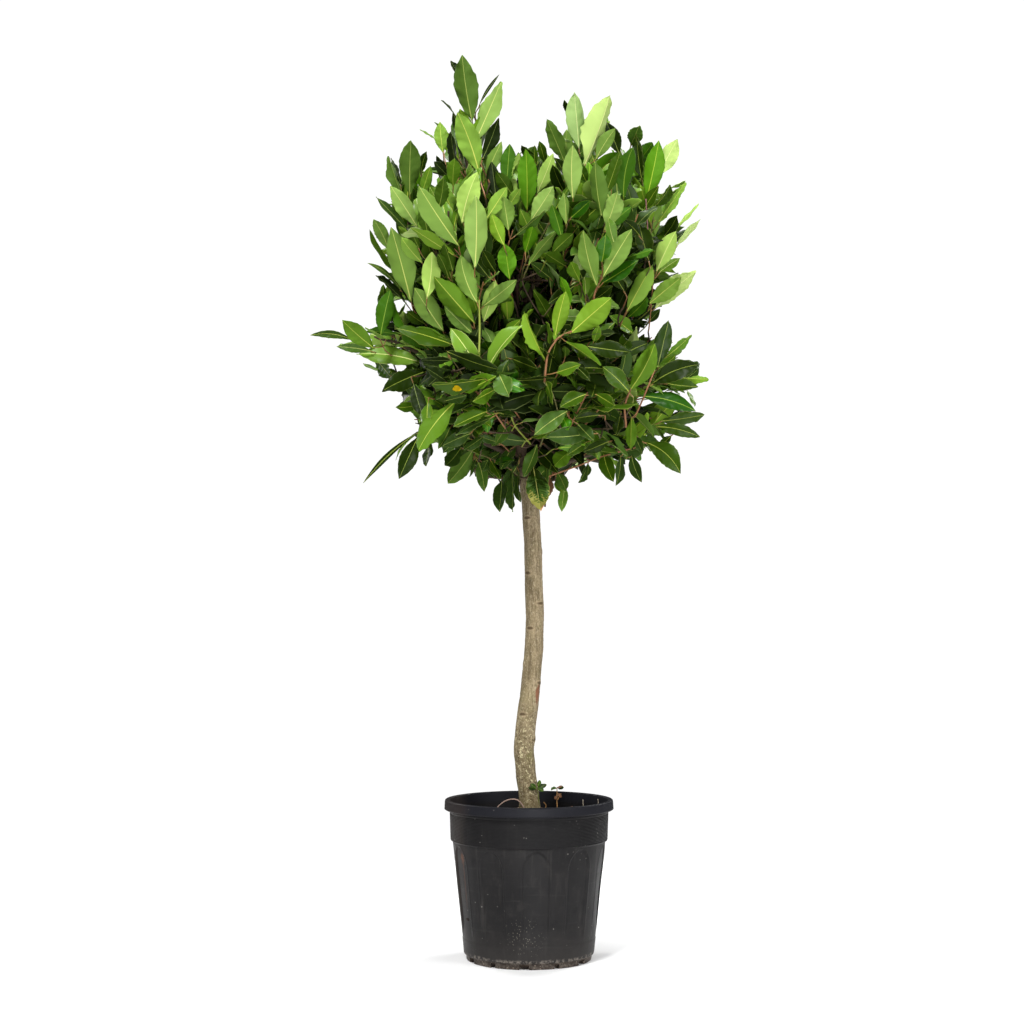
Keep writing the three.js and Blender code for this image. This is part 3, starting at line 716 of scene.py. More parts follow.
def trunk_material():
    n = Nodes("bay_bark")
    x, z = n.axis(0), n.axis(2)
    cloud = n.noise(26, 5, 0.65)
    streak = n.noise(1, 5, 0.65, n.scaled((230, 230, 26)))
    fibre = n.noise(1, 4, 0.7, n.scaled((520, 520, 70)))
    fine = n.noise(420, 4, 0.7)
    blot = n.noise(110, 4, 0.7)
    grain = n.noise(1, 3, 0.7, n.scaled((480, 480, 250)))
    tone = n.mix(n.ramp(cloud, 0.3, 0.72), (0.185, 0.140, 0.075), (0.36, 0.285, 0.170))
    # painted light: the right side of the stem is made paler, as if lit from the right
    tone = n.mix(n.ramp(x, -0.010, 0.022, 0, 0.35), tone, (0.40, 0.31, 0.20))
    tone = n.mix(n.ramp(streak, 0.50, 0.68, 0, 0.80), tone, (0.090, 0.062, 0.032))
    tone = n.mix(n.ramp(streak, 0.46, 0.30, 0, 0.6), tone, (0.52, 0.43, 0.285))
    tone = n.mix(n.ramp(fibre, 0.52, 0.70, 0, 0.60), tone, (0.105, 0.074, 0.040))
    tone = n.mix(n.ramp(fibre, 0.44, 0.30, 0, 0.45), tone, (0.56, 0.47, 0.32))
    tone = n.mix(n.ramp(blot, 0.56, 0.70, 0, 0.5), tone, (0.115, 0.080, 0.040))
    tone = n.mix(n.ramp(grain, 0.54, 0.66, 0, 0.62), tone, (0.100, 0.072, 0.040))
    tone = n.mix(n.ramp(grain, 0.46, 0.34, 0, 0.50), tone, (0.62, 0.53, 0.38))
    # darker rings and scars of the knots
    for height, turn, size, high in KNOTS[:10]:
        t = math.radians(turn)
        at = np.array([np.interp(height, [q[0] for q in TRUNK], [q[1] for q in TRUNK]), 0]) + np.interp(
            height, [q[0] for q in TRUNK], [q[2] for q in TRUNK]
        ) * np.array([math.sin(t), -math.cos(t)])
        far = n.node("ShaderNodeVectorMath", operation="DISTANCE")
        n.put(far.inputs[0], n.scaled((1, 1, 2.1)))
        far.inputs[1].default_value = (at[0] * MM, at[1] * MM, height * MM * 2.1)
        far = n.math("ADD", far.outputs["Value"], n.math("MULTIPLY", n.math("SUBTRACT", blot, 0.5), 0.006))
        tone = n.mix(n.ramp(far, 0.0120, 0.0085, 0, 0.45), tone, (0.44, 0.34, 0.21))
        tone = n.mix(n.ramp(far, 0.0078, 0.0040, 0, 0.9), tone, (0.070, 0.040, 0.022))
    # pale flecks of lichen, thick on the lower part
    fleck = n.math("MULTIPLY", n.ramp(n.noise(170, 4, 0.75), 0.545, 0.60), n.ramp(z, 0.47, 0.37, 0.03, 1.0))
    tone = n.mix(fleck, tone, (0.74, 0.66, 0.40))
    # the stem is darker and more olive from its middle down
    tone = n.mix(n.ramp(z, 0.74, 0.62, 0.05, 0.20), tone, (0.10, 0.080, 0.028))
    tone = n.mix(n.ramp(z, 0.43, 0.36, 0, 0.16), tone, (0.10, 0.080, 0.028))
    pit = n.math("MULTIPLY", n.ramp(n.noise(210, 3, 0.75), 0.56, 0.62), n.ramp(z, 0.46, 0.36, 0.2, 0.95))
    tone = n.mix(pit, tone, (0.075, 0.052, 0.026))
    green = n.math("MULTIPLY", n.ramp(n.noise(34, 4), 0.50, 0.68), n.ramp(z, 0.5, 0.3, 0.1, 0.5))
    tone = n.mix(green, tone, (0.20, 0.19, 0.060))
    # bare reddish patch on the right, half way down the lower part
    spot = n.node("ShaderNodeVectorMath", operation="DISTANCE")
    n.put(spot.inputs[0], n.scaled((1, 1, 0.36)))
    spot.inputs[1].default_value = (0.0158, -0.0105, 0.466 * 0.36)
    red = n.math("ADD", spot.outputs["Value"], n.math("MULTIPLY", n.math("SUBTRACT", n.noise(120, 4), 0.5), 0.006))
    tone = n.mix(n.ramp(red, 0.0070, 0.0040, 0, 0.9), tone, (0.21, 0.080, 0.040))
    # grubby and greener just above the compost, and darker up in the head as painted shade of the leaves over it
    tone = n.mix(n.ramp(z, 0.300, 0.262, 0, 0.55), tone, (0.125, 0.095, 0.040))
    # painted shade: the stem darkens where it runs up under the head
    tone = n.mix(n.ramp(z, 0.815, 0.885, 0, 0.85), tone, (0.058, 0.036, 0.024))
    n.set(Base_Color=tone, Roughness=n.ramp(fine, 0.3, 0.8, 0.66, 0.88))
    n.shader.inputs["Specular IOR Level"].default_value = 0.22
    n.bump(n.math("ADD", n.math("ADD", fine, blot), n.math("ADD", n.math("MULTIPLY", streak, 1.6), fibre)), 0.7, 0.0016)
    return n.m


def bough_material():
    n = Nodes("bough_bark_brown_painted_shade")
    cloud = n.noise(60, 5, 0.65)
    streak = n.noise(1, 4, 0.6, n.scaled((260, 260, 60)))
    # the bark is darker than its own brown: painted shade of the head over the boughs and twigs
    tone = n.mix(n.ramp(cloud, 0.3, 0.72), (0.040, 0.024, 0.013), (0.085, 0.056, 0.030))
    tone = n.mix(n.ramp(streak, 0.5, 0.7, 0, 0.4), tone, (0.11, 0.085, 0.055))
    n.set(Base_Color=tone, Roughness=0.7)
    n.shader.inputs["Specular IOR Level"].default_value = 0.35
    n.bump(streak, 0.3, 0.0008)
    return n.m


def build_limbs():
    line = np.array([(x, 0, z) for z, x, _ in TRUNK], float)
    rows = 430
    path = smooth_line(np.hstack([line, np.array([[r] for *_, r in TRUNK])]), rows)
    path, radii = path[:, :3], path[:, 3]

    def relief(at, d, along):
        shape = at.shape[:2]
        angle = np.arctan2(d[..., 1], d[..., 0])
        z = at[..., 2]
        q = np.stack([np.cos(angle) * 2.6, np.sin(angle) * 2.6, z / 26], -1).reshape(-1, 3)
        out = fractal(q, 21, 4).reshape(shape) * 0.95
        q = np.stack([np.cos(angle) * 9, np.sin(angle) * 9, z / 17], -1).reshape(-1, 3)
        ridge = fractal(q, 31, 3).reshape(shape)
        out -= 0.55 * np.exp(-((ridge / 0.09) ** 2))
        q = np.stack([np.cos(angle) * 5, np.sin(angle) * 5, z / 3.0], -1).reshape(-1, 3)
        out += 0.16 * noise(q, 41).reshape(shape)
        # flare in lobes towards the roots
        out += np.exp(-(z - 244) / 13) * (1.4 + 2.0 * np.cos(3 * angle + 0.7) + 1.2 * np.cos(5 * angle + 2))
        for height, turn, size, high in KNOTS:
            t = math.radians(turn)
            off = (np.arctan2(np.sin(angle - (t - math.pi / 2)), np.cos(angle - (t - math.pi / 2)))) * 17
            far = np.hypot(off, (z - height) * 0.85) / size
            out += high * (np.exp(-(far**2) * 1.4) - 0.42 * np.exp(-(far**2) * 9))
        return out

    pile = Pile()
    pile.tube(path, radii, 84, relief=relief)
    for v in pile.verts:
        v *= MM
    trunk = pile.mesh("trunk_bark", [trunk_material()])
    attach(trunk, "root")
    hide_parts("trunk")

    pile = Pile()
    for k, (name, (pts, (r0, r1))) in enumerate(BOUGHS.items()):
        path = smooth_line(pts, 60)
        r = np.linspace(r0, r1, 60)

        def knotty(at, d, along, k=k):
            shape = at.shape[:2]
            return fractal(at.reshape(-1, 3) / 7, 50 + k, 3).reshape(shape) * 0.5 + 0.5 * np.exp(
                -(((along[:, None] % 47 - 23) / 3.0) ** 2)
            )

        pile.tube(path, r, 14, relief=knotty)
    for v in pile.verts:
        v *= MM
    boughs = pile.mesh("boughs_bark", [bough_material()])
    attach(boughs, "root")
    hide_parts(*[f"bough_{name}" for name in BOUGHS])


# ---------------------------------------------------------------- leaves
TINTS = {  # upper side, underside, rib; then roughness and shine of the upper side
    "pale": ((0.162, 0.2961, 0.0319), (0.5029, 0.6724, 0.2159), (0.8070, 0.8388, 0.3613), 0.42, 0.24),
    "pale_green": ((0.15, 0.2874, 0.0319), (0.4678, 0.6308, 0.1746), (0.7758, 0.8228, 0.3325), 0.42, 0.24),
    "light": ((0.1441, 0.2789, 0.0212), (0.3515, 0.5395, 0.0976), (0.7305, 0.7758, 0.2462), 0.4, 0.24),
    "light_grey": ((0.15, 0.2705, 0.0452), (0.3325, 0.491, 0.1559), (0.7011, 0.7605, 0.3325), 0.4, 0.24),
    "fresh": ((0.117, 0.2542, 0.016), (0.2086, 0.3712, 0.0423), (0.6308, 0.6724, 0.117), 0.38, 0.24),
    "fresh_grey": ((0.117, 0.2384, 0.0252), (0.2307, 0.3712, 0.0723), (0.6038, 0.6445, 0.1812), 0.38, 0.24),
    "fresh_vivid": ((0.1070, 0.2623, 0.0110), (0.1779, 0.3613, 0.0232), (0.5029, 0.6445, 0.0612), 0.36, 0.24),
    "fresh_warm": ((0.15, 0.2542, 0.0091), (0.2705, 0.3813, 0.0296), (0.6724, 0.6584, 0.117), 0.38, 0.24),
    "mid": ((0.0762, 0.1683, 0.006), (0.1559, 0.2918, 0.0144), (0.5271, 0.5647, 0.0762), 0.38, 0.2),
    "mid_grey": ((0.0648, 0.1384, 0.016), (0.1441, 0.2542, 0.0369), (0.4793, 0.5271, 0.1221), 0.4, 0.18),
    "mid_vivid": ((0.0395, 0.162, 0.0018), (0.0887, 0.2462, 0.0037), (0.3813, 0.5029, 0.0395), 0.34, 0.24),
    "deep": ((0.0369, 0.0844, 0.0027), (0.0887, 0.1878, 0.007), (0.3813, 0.4452, 0.0545), 0.38, 0.16),
    "deep_grey": ((0.0296, 0.0648, 0.008), (0.0802, 0.1559, 0.0176), (0.3231, 0.3916, 0.0802), 0.4, 0.15),
    "deep_vivid": ((0.016, 0.0762, 0.0012), (0.0423, 0.1329, 0.0024), (0.2462, 0.3712, 0.0273), 0.32, 0.22),
    "dark": ((0.0137, 0.0296, 0.0015), (0.0395, 0.0865, 0.003), (0.2307, 0.2961, 0.0369), 0.4, 0.1),
    "dark_grey": ((0.013, 0.0242, 0.004), (0.0319, 0.0685, 0.008), (0.1946, 0.2542, 0.0612), 0.42, 0.1),
    # the next three tints are painted reflections of the light on glossy leaves, greyish and bluish
    "dark_reflection": ((0.0887, 0.1329, 0.0844), (0.1274, 0.1878, 0.1221), (0.2232, 0.2705, 0.1812), 0.3, 0.3),
    "grey_reflection": ((0.1384, 0.2086, 0.107), (0.2016, 0.2874, 0.1559), (0.4342, 0.5149, 0.2874), 0.34, 0.24),
    "sheen": ((0.552, 0.6584, 0.5395), (0.6172, 0.7011, 0.5776), (0.6172, 0.6724, 0.491), 0.34, 0.3),
    # inner: near black, painted shade for the leaves deep inside the head
    "inner": ((0.0044, 0.0091, 0.0009), (0.0103, 0.0212, 0.0018), (0.0369, 0.0545, 0.0091), 0.45, 0.05),
    "brown": ((0.1384, 0.0648, 0.0319), (0.1559, 0.0802, 0.0423), (0.2159, 0.1221, 0.0612), 0.6, 0.2),
    "yellowing": ((0.3515, 0.3419, 0.0685), (0.3515, 0.3419, 0.0802), (0.5029, 0.4678, 0.1274), 0.45, 0.2),
    "yellow": ((0.855, 0.552, 0.0052), (0.8388, 0.5395, 0.0091), (0.855, 0.5776, 0.0252), 0.45, 0.2),
}
TINT_NAMES = list(TINTS)
PER_TINT = 4  # upper side, underside, rib, margin


def leaf_materials():
    out = []
    for name, (top, under, rib, rough, shine) in TINTS.items():
        edge = tuple(0.62 * a + 0.38 * b for a, b in zip(top, rib))
        out.append(plain(f"leaf_{name}_top", top, roughness=rough, specular=shine))
        out.append(plain(f"leaf_{name}_under", under, roughness=0.62, specular=min(shine, 0.17)))
        out.append(plain(f"leaf_{name}_rib", rib, roughness=0.5, specular=0.3))
        out.append(plain(f"leaf_{name}_edge", edge, roughness=0.5, specular=0.3))
    out.append(plain("petiole_red", (0.36, 0.19, 0.07), roughness=0.5, specular=0.25))
    out.append(plain("leaf_scorched", (0.66, 0.33, 0.135), roughness=0.6, specular=0.2))
    return out


PETIOLE = PER_TINT * len(TINTS)
SCORCHED = PETIOLE + 1
ALONG = [0, 0.04, 0.10, 0.20, 0.32, 0.45, 0.58, 0.70, 0.80, 0.88, 0.95, 0.98, 1.0]
POINTED = [0.04, 0.11, 0.25, 0.53, 0.82, 0.97, 0.99, 0.87, 0.66, 0.43, 0.18, 0.07, 0.0]
BLUNT = [0.04, 0.10, 0.22, 0.45, 0.72, 0.92, 1.0, 0.97, 0.86, 0.68, 0.40, 0.22, 0.0]
GRIDS = [  # rows, and places across the blade, from coarse to fine; the rib lies between the two zeros
    (9, [-1.0, -0.52, 0.0, 0.0, 0.52, 1.0]),
    (11, [-1.0, -0.94, -0.50, 0.0, 0.0, 0.50, 0.94, 1.0]),
    (25, [-1.0, -0.965, -0.66, -0.33, 0.0, 0.0, 0.33, 0.66, 0.965, 1.0]),
    (49, [-1.0, -0.97, -0.84, -0.70, -0.56, -0.42, -0.28, -0.14, 0.0, 0.0, 0.14, 0.28, 0.42, 0.56, 0.70, 0.84, 0.97, 1.0]),
]


def leaf_batch(leaves, grid):
    """Every leaf of a list as one closed blade each: vertices, faces and each face's material."""
    n = len(leaves)
    rows, cols = GRIDS[grid]
    cols = np.array(cols)
    C = len(cols)
    t = np.linspace(0, 1, rows)
    U = t - 0.07 * np.sin(2 * math.pi * t) * 0.6
    get = lambda key: np.array([l[key] for l in leaves], float)
    base, T, N = get("base"), unit(get("T")), get("N")
    N = unit(N - T * np.sum(T * N, 1, keepdims=True))
    L, W = get("L"), get("W")
    bend, twist, fold = get("bend"), get("twist"), get("fold")
    seed = get("seed")
    mid = np.where(cols == 0, np.where(np.arange(C) < C / 2, -1.0, 1.0), 0.0)
    absv = np.abs(cols)
    slant = 0.13 if grid >= 2 else 0.085
    g = np.clip(4 * U * (1 - U), 0, 1) ** 0.8
    s = np.clip(U[:, None] + slant * g[:, None] * absv[None], 0, 1)  # rows x cols, along the leaf
    side = np.sign(cols + mid * 0.5)[None, None]
    phase = seed[:, None, None] * 6.28
    waves = 5.2 + 2.6 * ((seed * 5.1) % 1)[:, None, None]
    wavy = ((0.4 + 1.1 * ((seed * 9.7) % 1)) * np.array([l.get("calm", 1.0) for l in leaves]))[:, None, None] * (1.0 if grid else 0.0)
    edge = np.sin(6.28 * s[None] * waves + phase * 3 + side * 2.0)
    blunt = ((seed * 3.3) % 1)[:, None, None] ** 2.2 * (0.35 if grid >= 2 else 0.8)
    f = np.interp(s, ALONG, POINTED)[None] * (1 - blunt) + np.interp(s, ALONG, BLUNT)[None] * blunt
    lop = 1 + 0.07 * side * np.sin(phase * 2)  # one half a little broader
    half = 0.5 * W[:, None, None] * f * lop * (1 + 0.036 * wavy * absv[None, None] * np.sin(6.28 * s[None] * waves * 1.3 + phase + side))
    rib = (1.35 * (1 - 0.70 * s) * 0.5)[None] * (L / 0.100)[:, None, None] * MM * 1.25
    y = cols[None, None] * half + mid[None, None] * np.minimum(rib, half * 0.7)
    x = s[None] * L[:, None, None]
    # height over the leaf's own plane
    z = np.abs(y) * fold[:, None, None]
    z = z - 0.17 * W[:, None, None] * (np.abs(y) / (0.5 * W[:, None, None])) ** 2 * np.sin(phase * 1.7)  # the margins roll up or down
    z = z + 0.062 * W[:, None, None] * absv[None, None] ** 2 * np.sin(
        6.28 * (s[None] * (1.6 + 1.2 * ((seed * 7.3) % 1)[:, None, None])) + phase + side * 1.1
    )
    z = z + 0.034 * wavy * W[:, None, None] * absv[None, None] ** 3 * edge
    if grid >= 2:  # the side veins, a little sunk
        sunk = np.where((np.arange(rows) - 1) % (3 if grid == 2 else 6) == 0, -1.0, 0.5)[:, None]
        z = z + (0.013 * W[:, None, None] + 0.0003) * sunk[None] * ((absv > 0.2) * (absv < 0.95))[None, None] * g[None, :, None]
    # carry it along a bent, twisted middle line
    angle = bend[:, None, None] * s[None] ** 1.3
    steps = 24
    ss = np.linspace(0, 1, steps + 1)
    a = bend[:, None] * ss[None] ** 1.3
    dx = np.concatenate([np.zeros((n, 1)), np.cumsum((np.cos(a[:, 1:]) + np.cos(a[:, :-1])) / 2, 1) / steps], 1)
    dz = np.concatenate([np.zeros((n, 1)), np.cumsum((np.sin(a[:, 1:]) + np.sin(a[:, :-1])) / 2, 1) / steps], 1)
    t = s[None] * steps
    i0 = np.clip(np.floor(t).astype(int), 0, steps - 1)
    w = t - i0
    i0 = np.broadcast_to(i0, (n, rows, C))
    w = np.broadcast_to(w, (n, rows, C))
    which = np.arange(n)[:, None, None]
    cx = (dx[which, i0] * (1 - w) + dx[which, i0 + 1] * w) * L[:, None, None]
    cz = (dz[which, i0] * (1 - w) + dz[which, i0 + 1] * w) * L[:, None, None]
    B = np.cross(N, T)
    tw = twist[:, None, None] * s[None]
    B2 = B[:, None, None] * np.cos(tw)[..., None] + N[:, None, None] * np.sin(tw)[..., None]
    N2 = -B[:, None, None] * np.sin(tw)[..., None] + N[:, None, None] * np.cos(tw)[..., None]
    up = N2 * np.cos(angle)[..., None] - T[:, None, None] * np.sin(angle)[..., None]
    middle = base[:, None, None] + T[:, None, None] * cx[..., None] + N[:, None, None] * cz[..., None]
    sweep = get("sweep")[:, None, None] * (s[None] ** 2 - s[None]) * L[:, None, None]  # the rib curves to one side
    at = middle + B2 * (y + sweep)[..., None] + up * z[..., None]
    # thickness: none at the margin, the foot and the tip
    thick = 0.00028 * np.ones((rows, C)) * (absv < 0.999)[None]
    thick[0] = thick[-1] = 0
    down_extra = np.where(mid != 0, 0.00045, 0.0)[None] * np.ones((rows, 1))
    down_extra[0] = down_extra[-1] = 0
    upper = at + up * thick[None, ..., None]
    lower = at - up * (thick + down_extra)[None, ..., None]
    # vertices of one leaf: the upper grid but its last row, the inner lower grid, the tip
    R = rows - 1
    up_i = np.arange(R * C).reshape(R, C)
    low_i = up_i.copy()
    inner = np.arange((R - 1) * (C - 2)).reshape(R - 1, C - 2) + R * C
    low_i[1:, 1:-1] = inner
    tip = R * C + (R - 1) * (C - 2)
    per = tip + 1
    quads, tris, qk, tk = [], [], [], []  # with each face: how far along, its part and its side
    part = [1 if mid[c] and mid[c + 1] else 2 if absv[[c, c + 1]].min() > 0.9 else 3 if absv[[c, c + 1]].max() > 0.6 else 0 for c in range(C - 1)]
    for r in range(R - 1):
        for c in range(C - 1):
            quads.append([up_i[r, c], up_i[r + 1, c], up_i[r + 1, c + 1], up_i[r, c + 1]])
            qk.append((U[r], part[c], 0, (cols[c] + cols[c + 1]) / 2))
            quads.append([low_i[r, c], low_i[r, c + 1], low_i[r + 1, c + 1], low_i[r + 1, c]])
            qk.append((U[r], part[c], 1, (cols[c] + cols[c + 1]) / 2))
    for c in range(C - 1):
        tris.append([up_i[R - 1, c], tip, up_i[R - 1, c + 1]])
        tk.append((U[R - 1], part[c], 0, (cols[c] + cols[c + 1]) / 2))
        tris.append([low_i[R - 1, c], low_i[R - 1, c + 1], tip])
        tk.append((U[R - 1], part[c], 1, (cols[c] + cols[c + 1]) / 2))
    quads, tris = np.array(quads), np.array(tris)
    verts = np.concatenate(
        [upper[:, :R].reshape(n, R * C, 3), lower[:, 1:R, 1:-1].reshape(n, -1, 3), at[:, -1, 3:4].reshape(n, 1, 3)], 1
    )
    offset = np.arange(n) * per
    all_quads = (quads[None] + offset[:, None, None]).reshape(-1, 4)
    all_tris = (tris[None] + offset[:, None, None]).reshape(-1, 3)
    tint = np.array([TINT_NAMES.index(l["tint"]) for l in leaves])
    margin = np.array([l.get("margin", 0) for l in leaves])
    turning = tint == TINT_NAMES.index("yellowing")

    def slots(faces):
        along = np.array([f[0] for f in faces])[None]
        kind = np.array([f[1] for f in faces])[None]
        below = np.array([f[2] for f in faces])[None]
        across = np.array([f[3] for f in faces])[None]
        out = PER_TINT * tint[:, None] + below
        speck = np.sin(along * 173.1 + across * 91.7) * np.sin(along * 61.3 - across * 37.9)
        fading = along + 0.30 * np.abs(across) - 0.10 * across + 0.16 * speck
        green = np.select([fading < 0.44, fading < 0.60], [TINT_NAMES.index("dark"), TINT_NAMES.index("deep_grey")], TINT_NAMES.index("mid_grey"))
        out = np.where(turning[:, None] & (fading < 0.78), PER_TINT * green + below, out)
        out = np.where(kind == 1, PER_TINT * tint[:, None] + 2, out)
        out = np.where((kind == 2) & (margin[:, None] > 0), PER_TINT * tint[:, None] + 3, out)
        out = np.where(turning[:, None] & (along + 0.16 * across > 0.95), SCORCHED, out)
        return out.reshape(-1)

    return verts.reshape(-1, 3), all_quads, all_tris, slots(qk), slots(tk)


# ---------------------------------------------------------------- how the head grows
EYE = np.array(CAMERA)


def pic(p):
    """Where points show on the upright plane through the stem, seen from the camera: x and z in metres."""
    p = np.asarray(p, float)
    k = (0 - EYE[1]) / (p[..., 1] - EYE[1])
    return np.stack([EYE[0] + (p[..., 0] - EYE[0]) * k, EYE[2] + (p[..., 2] - EYE[2]) * k], -1)


def from_pic(x, z, y):
    """The point at depth y that shows at x, z on that plane."""
    k = (y - EYE[1]) / (0 - EYE[1])
    return np.array([EYE[0] + (x - EYE[0]) * k, y, EYE[2] + (z - EYE[2]) * k])


class Picture:
    """A map of the head as the camera sees it, in cells of 2 mm."""

    X0, Z0, CELL, NX, NZ = -0.42, 0.74, 0.002, 390, 450

    def __init__(self, fill):
        self.map = np.full((self.NX, self.NZ), fill, float)

    def cell(self, q):
        q = np.atleast_2d(q)
        i = np.clip(((q[:, 0] - self.X0) / self.CELL).astype(int), 0, self.NX - 1)
        j = np.clip(((q[:, 1] - self.Z0) / self.CELL).astype(int), 0, self.NZ - 1)
        return i, j

    def at(self, q):
        i, j = self.cell(q)
        return self.map[i, j]

    def polygon(self, points, value):
        pts = np.asarray(points, float)
        xs = self.X0 + (np.arange(self.NX) + 0.5) * self.CELL
        zs = self.Z0 + (np.arange(self.NZ) + 0.5) * self.CELL
        X, Z = np.meshgrid(xs, zs, indexing="ij")
        inside = np.zeros_like(X, bool)
        for (x1, z1), (x2, z2) in zip(pts, np.roll(pts, -1, 0)):
            cross = (z1 > Z) != (z2 > Z)
            with np.errstate(divide="ignore", invalid="ignore"):
                at = (x2 - x1) * (Z - z1) / (z2 - z1 if z2 != z1 else 1e-9) + x1
            inside ^= cross & (X < at)
        self.map[inside] = value


class Mass:
    def __init__(self, name):
        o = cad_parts[f"mass_{name}"]
        me = o.data
        v = [tuple(o.matrix_world @ p.co) for p in me.vertices]
        self.name = name
        self.faces = [tuple(p.vertices) for p in me.polygons]
        self.tree = BVHTree.FromPolygons(v, self.faces)
        self.verts = v = np.array(v)
        self.lo, self.hi = v.min(0), v.max(0)
        self.middle = v.mean(0)

    def depth(self, p):
        """How far inside p is, or a negative distance outside."""
        co, no, _, far = self.tree.find_nearest(Vector(p))
        return far if (Vector(p) - co).dot(no) < 0 else -far


# Where the masses part, inside the head, leaves grow on: middle and half sizes.
HEARTS = [
    (np.array([-0.01, 0.02, 1.14]), np.array([0.20, 0.16, 0.17])),
    (np.array([0.0, -0.02, 0.925]), np.array([0.15, 0.14, 0.085])),
]


class Head:
    """All the masses as one: how deep a point lies under the outer skin, and which mass it is in."""

    def __init__(self, masses):
        self.masses = masses
        skin = []
        for m in masses.values():
            for f in m.faces:
                c = m.verts[list(f)]
                n = unit(np.cross(c[1] - c[0], c[2] - c[0]))
                mid = c.mean(0)
                for q in [mid] + [mid * 0.35 + k * 0.65 for k in c]:
                    out = q + n * 0.012
                    if not any(k is not m and np.all(out > k.lo) and np.all(out < k.hi) and k.depth(out) > 0 for k in masses.values()):
                        skin.append(q)
        self.tree = KDTree(len(skin))
        for i, q in enumerate(skin):
            self.tree.insert(q, i)
        self.tree.balance()
        self.lo = np.min([m.lo for m in masses.values()], 0)
        self.hi = np.max([m.hi for m in masses.values()], 0)

    def place(self, p):
        """The depth of p under the skin, negative outside, and the name of its mass."""
        best, owner = -1.0, None
        for m in self.masses.values():
            if np.all(p > m.lo - 0.012) and np.all(p < m.hi + 0.012):
                d = m.depth(p)
                if d > best:
                    best, owner = d, m.name
        if owner is None or best < -0.010:
            for middle, half in HEARTS:
                if np.sum(((p - middle) / half) ** 2) < 1:
                    return 0.1, min(self.masses.values(), key=lambda m: np.linalg.norm(p - m.middle)).name
            return -1.0, None
        return self.tree.find(p)[2], owner


def shoot_way(p, rng, wild=0.22):
    """The way a shoot at p grows: out and a little down at the foot of the head, more and more upright above."""
    h = np.clip((p[2] - 0.80) / 0.80, 0, 1)
    out = np.array([p[0] + 0.01, p[1], 0])
    far = np.linalg.norm(out)
    out = out / max(far, 1e-6) * min(1.0, 0.25 + far / 0.22)
    way = out * (1.0 - 0.62 * h) + np.array([0, 0, -0.22 + 1.75 * h**0.85])
    return unit(unit(way) + rng.normal(0, wild, 3))


def leafy_shoot(end, way, rng, tint, length=None, count=None, big=1.0, h=0.5):
    """A shoot that ends at end: its line and its leaves."""
    length = length or rng.uniform(0.075, 0.115)
    side = unit(np.cross(way, rng.normal(0, 1, 3)))
    start = end - way * length + side * length * rng.uniform(-0.12, 0.12) - np.array([0, 0, 0.10 * length])
    mid = (start + end) / 2 + side * length * rng.uniform(-0.05, 0.05)
    line = smooth_line([start, mid, end], 14)
    T, u, v = carried_frames(line)
    count = count or int(rng.integers(7, 11))
    turn = rng.uniform(0, 6.28)
    leaves = []
    for i in range(count):
        t = i / (count - 1)
        along = 0.10 + 0.90 * t**0.85
        k = along * 13
        i0 = min(int(k), 12)
        at = line[i0] * (1 - k + i0) + line[i0 + 1] * (k - i0)
        A = T[i0]
        phi = turn + math.radians(137.5) * i + rng.normal(0, 0.25)
        out = u[i0] * math.cos(phi) + v[i0] * math.sin(phi)
        open_ = math.radians(np.interp(t, [0, 0.5, 0.85, 1], [60, 46, 26, 14]) * rng.uniform(0.8, 1.2) * (1.12 - 0.30 * h))
        way_l = unit(A * math.cos(open_) + out * math.sin(open_) + np.array([0, 0, -0.10 * (1 - h)]))
        normal = unit(A - way_l * np.dot(A, way_l) + rng.normal(0, 0.16, 3) + np.array([0, 0, 0.25 * (1 - h)]))
        L = (0.094 + 0.016 * h) * big * np.interp(t, [0, 0.35, 0.8, 1], [0.80, 1.05, 0.98, 0.72]) * rng.uniform(0.86, 1.14)
        stalk = 0.009 * rng.uniform(0.8, 1.2)
        leaves.append(
            dict(
                stem=at, base=at + way_l * stalk, T=way_l, N=normal, L=L, W=L * rng.uniform(0.33, 0.39),
                bend=rng.normal(-0.22, 0.34) - 0.18 * (1 - h), twist=rng.normal(0, 0.26), fold=abs(rng.normal(0.28, 0.14)),
                seed=rng.uniform(0, 1), tint=tint() if callable(tint) else tint, margin=int(rng.random() < 0.35), sweep=rng.normal(0, 0.10),
            )
        )
    return line, leaves


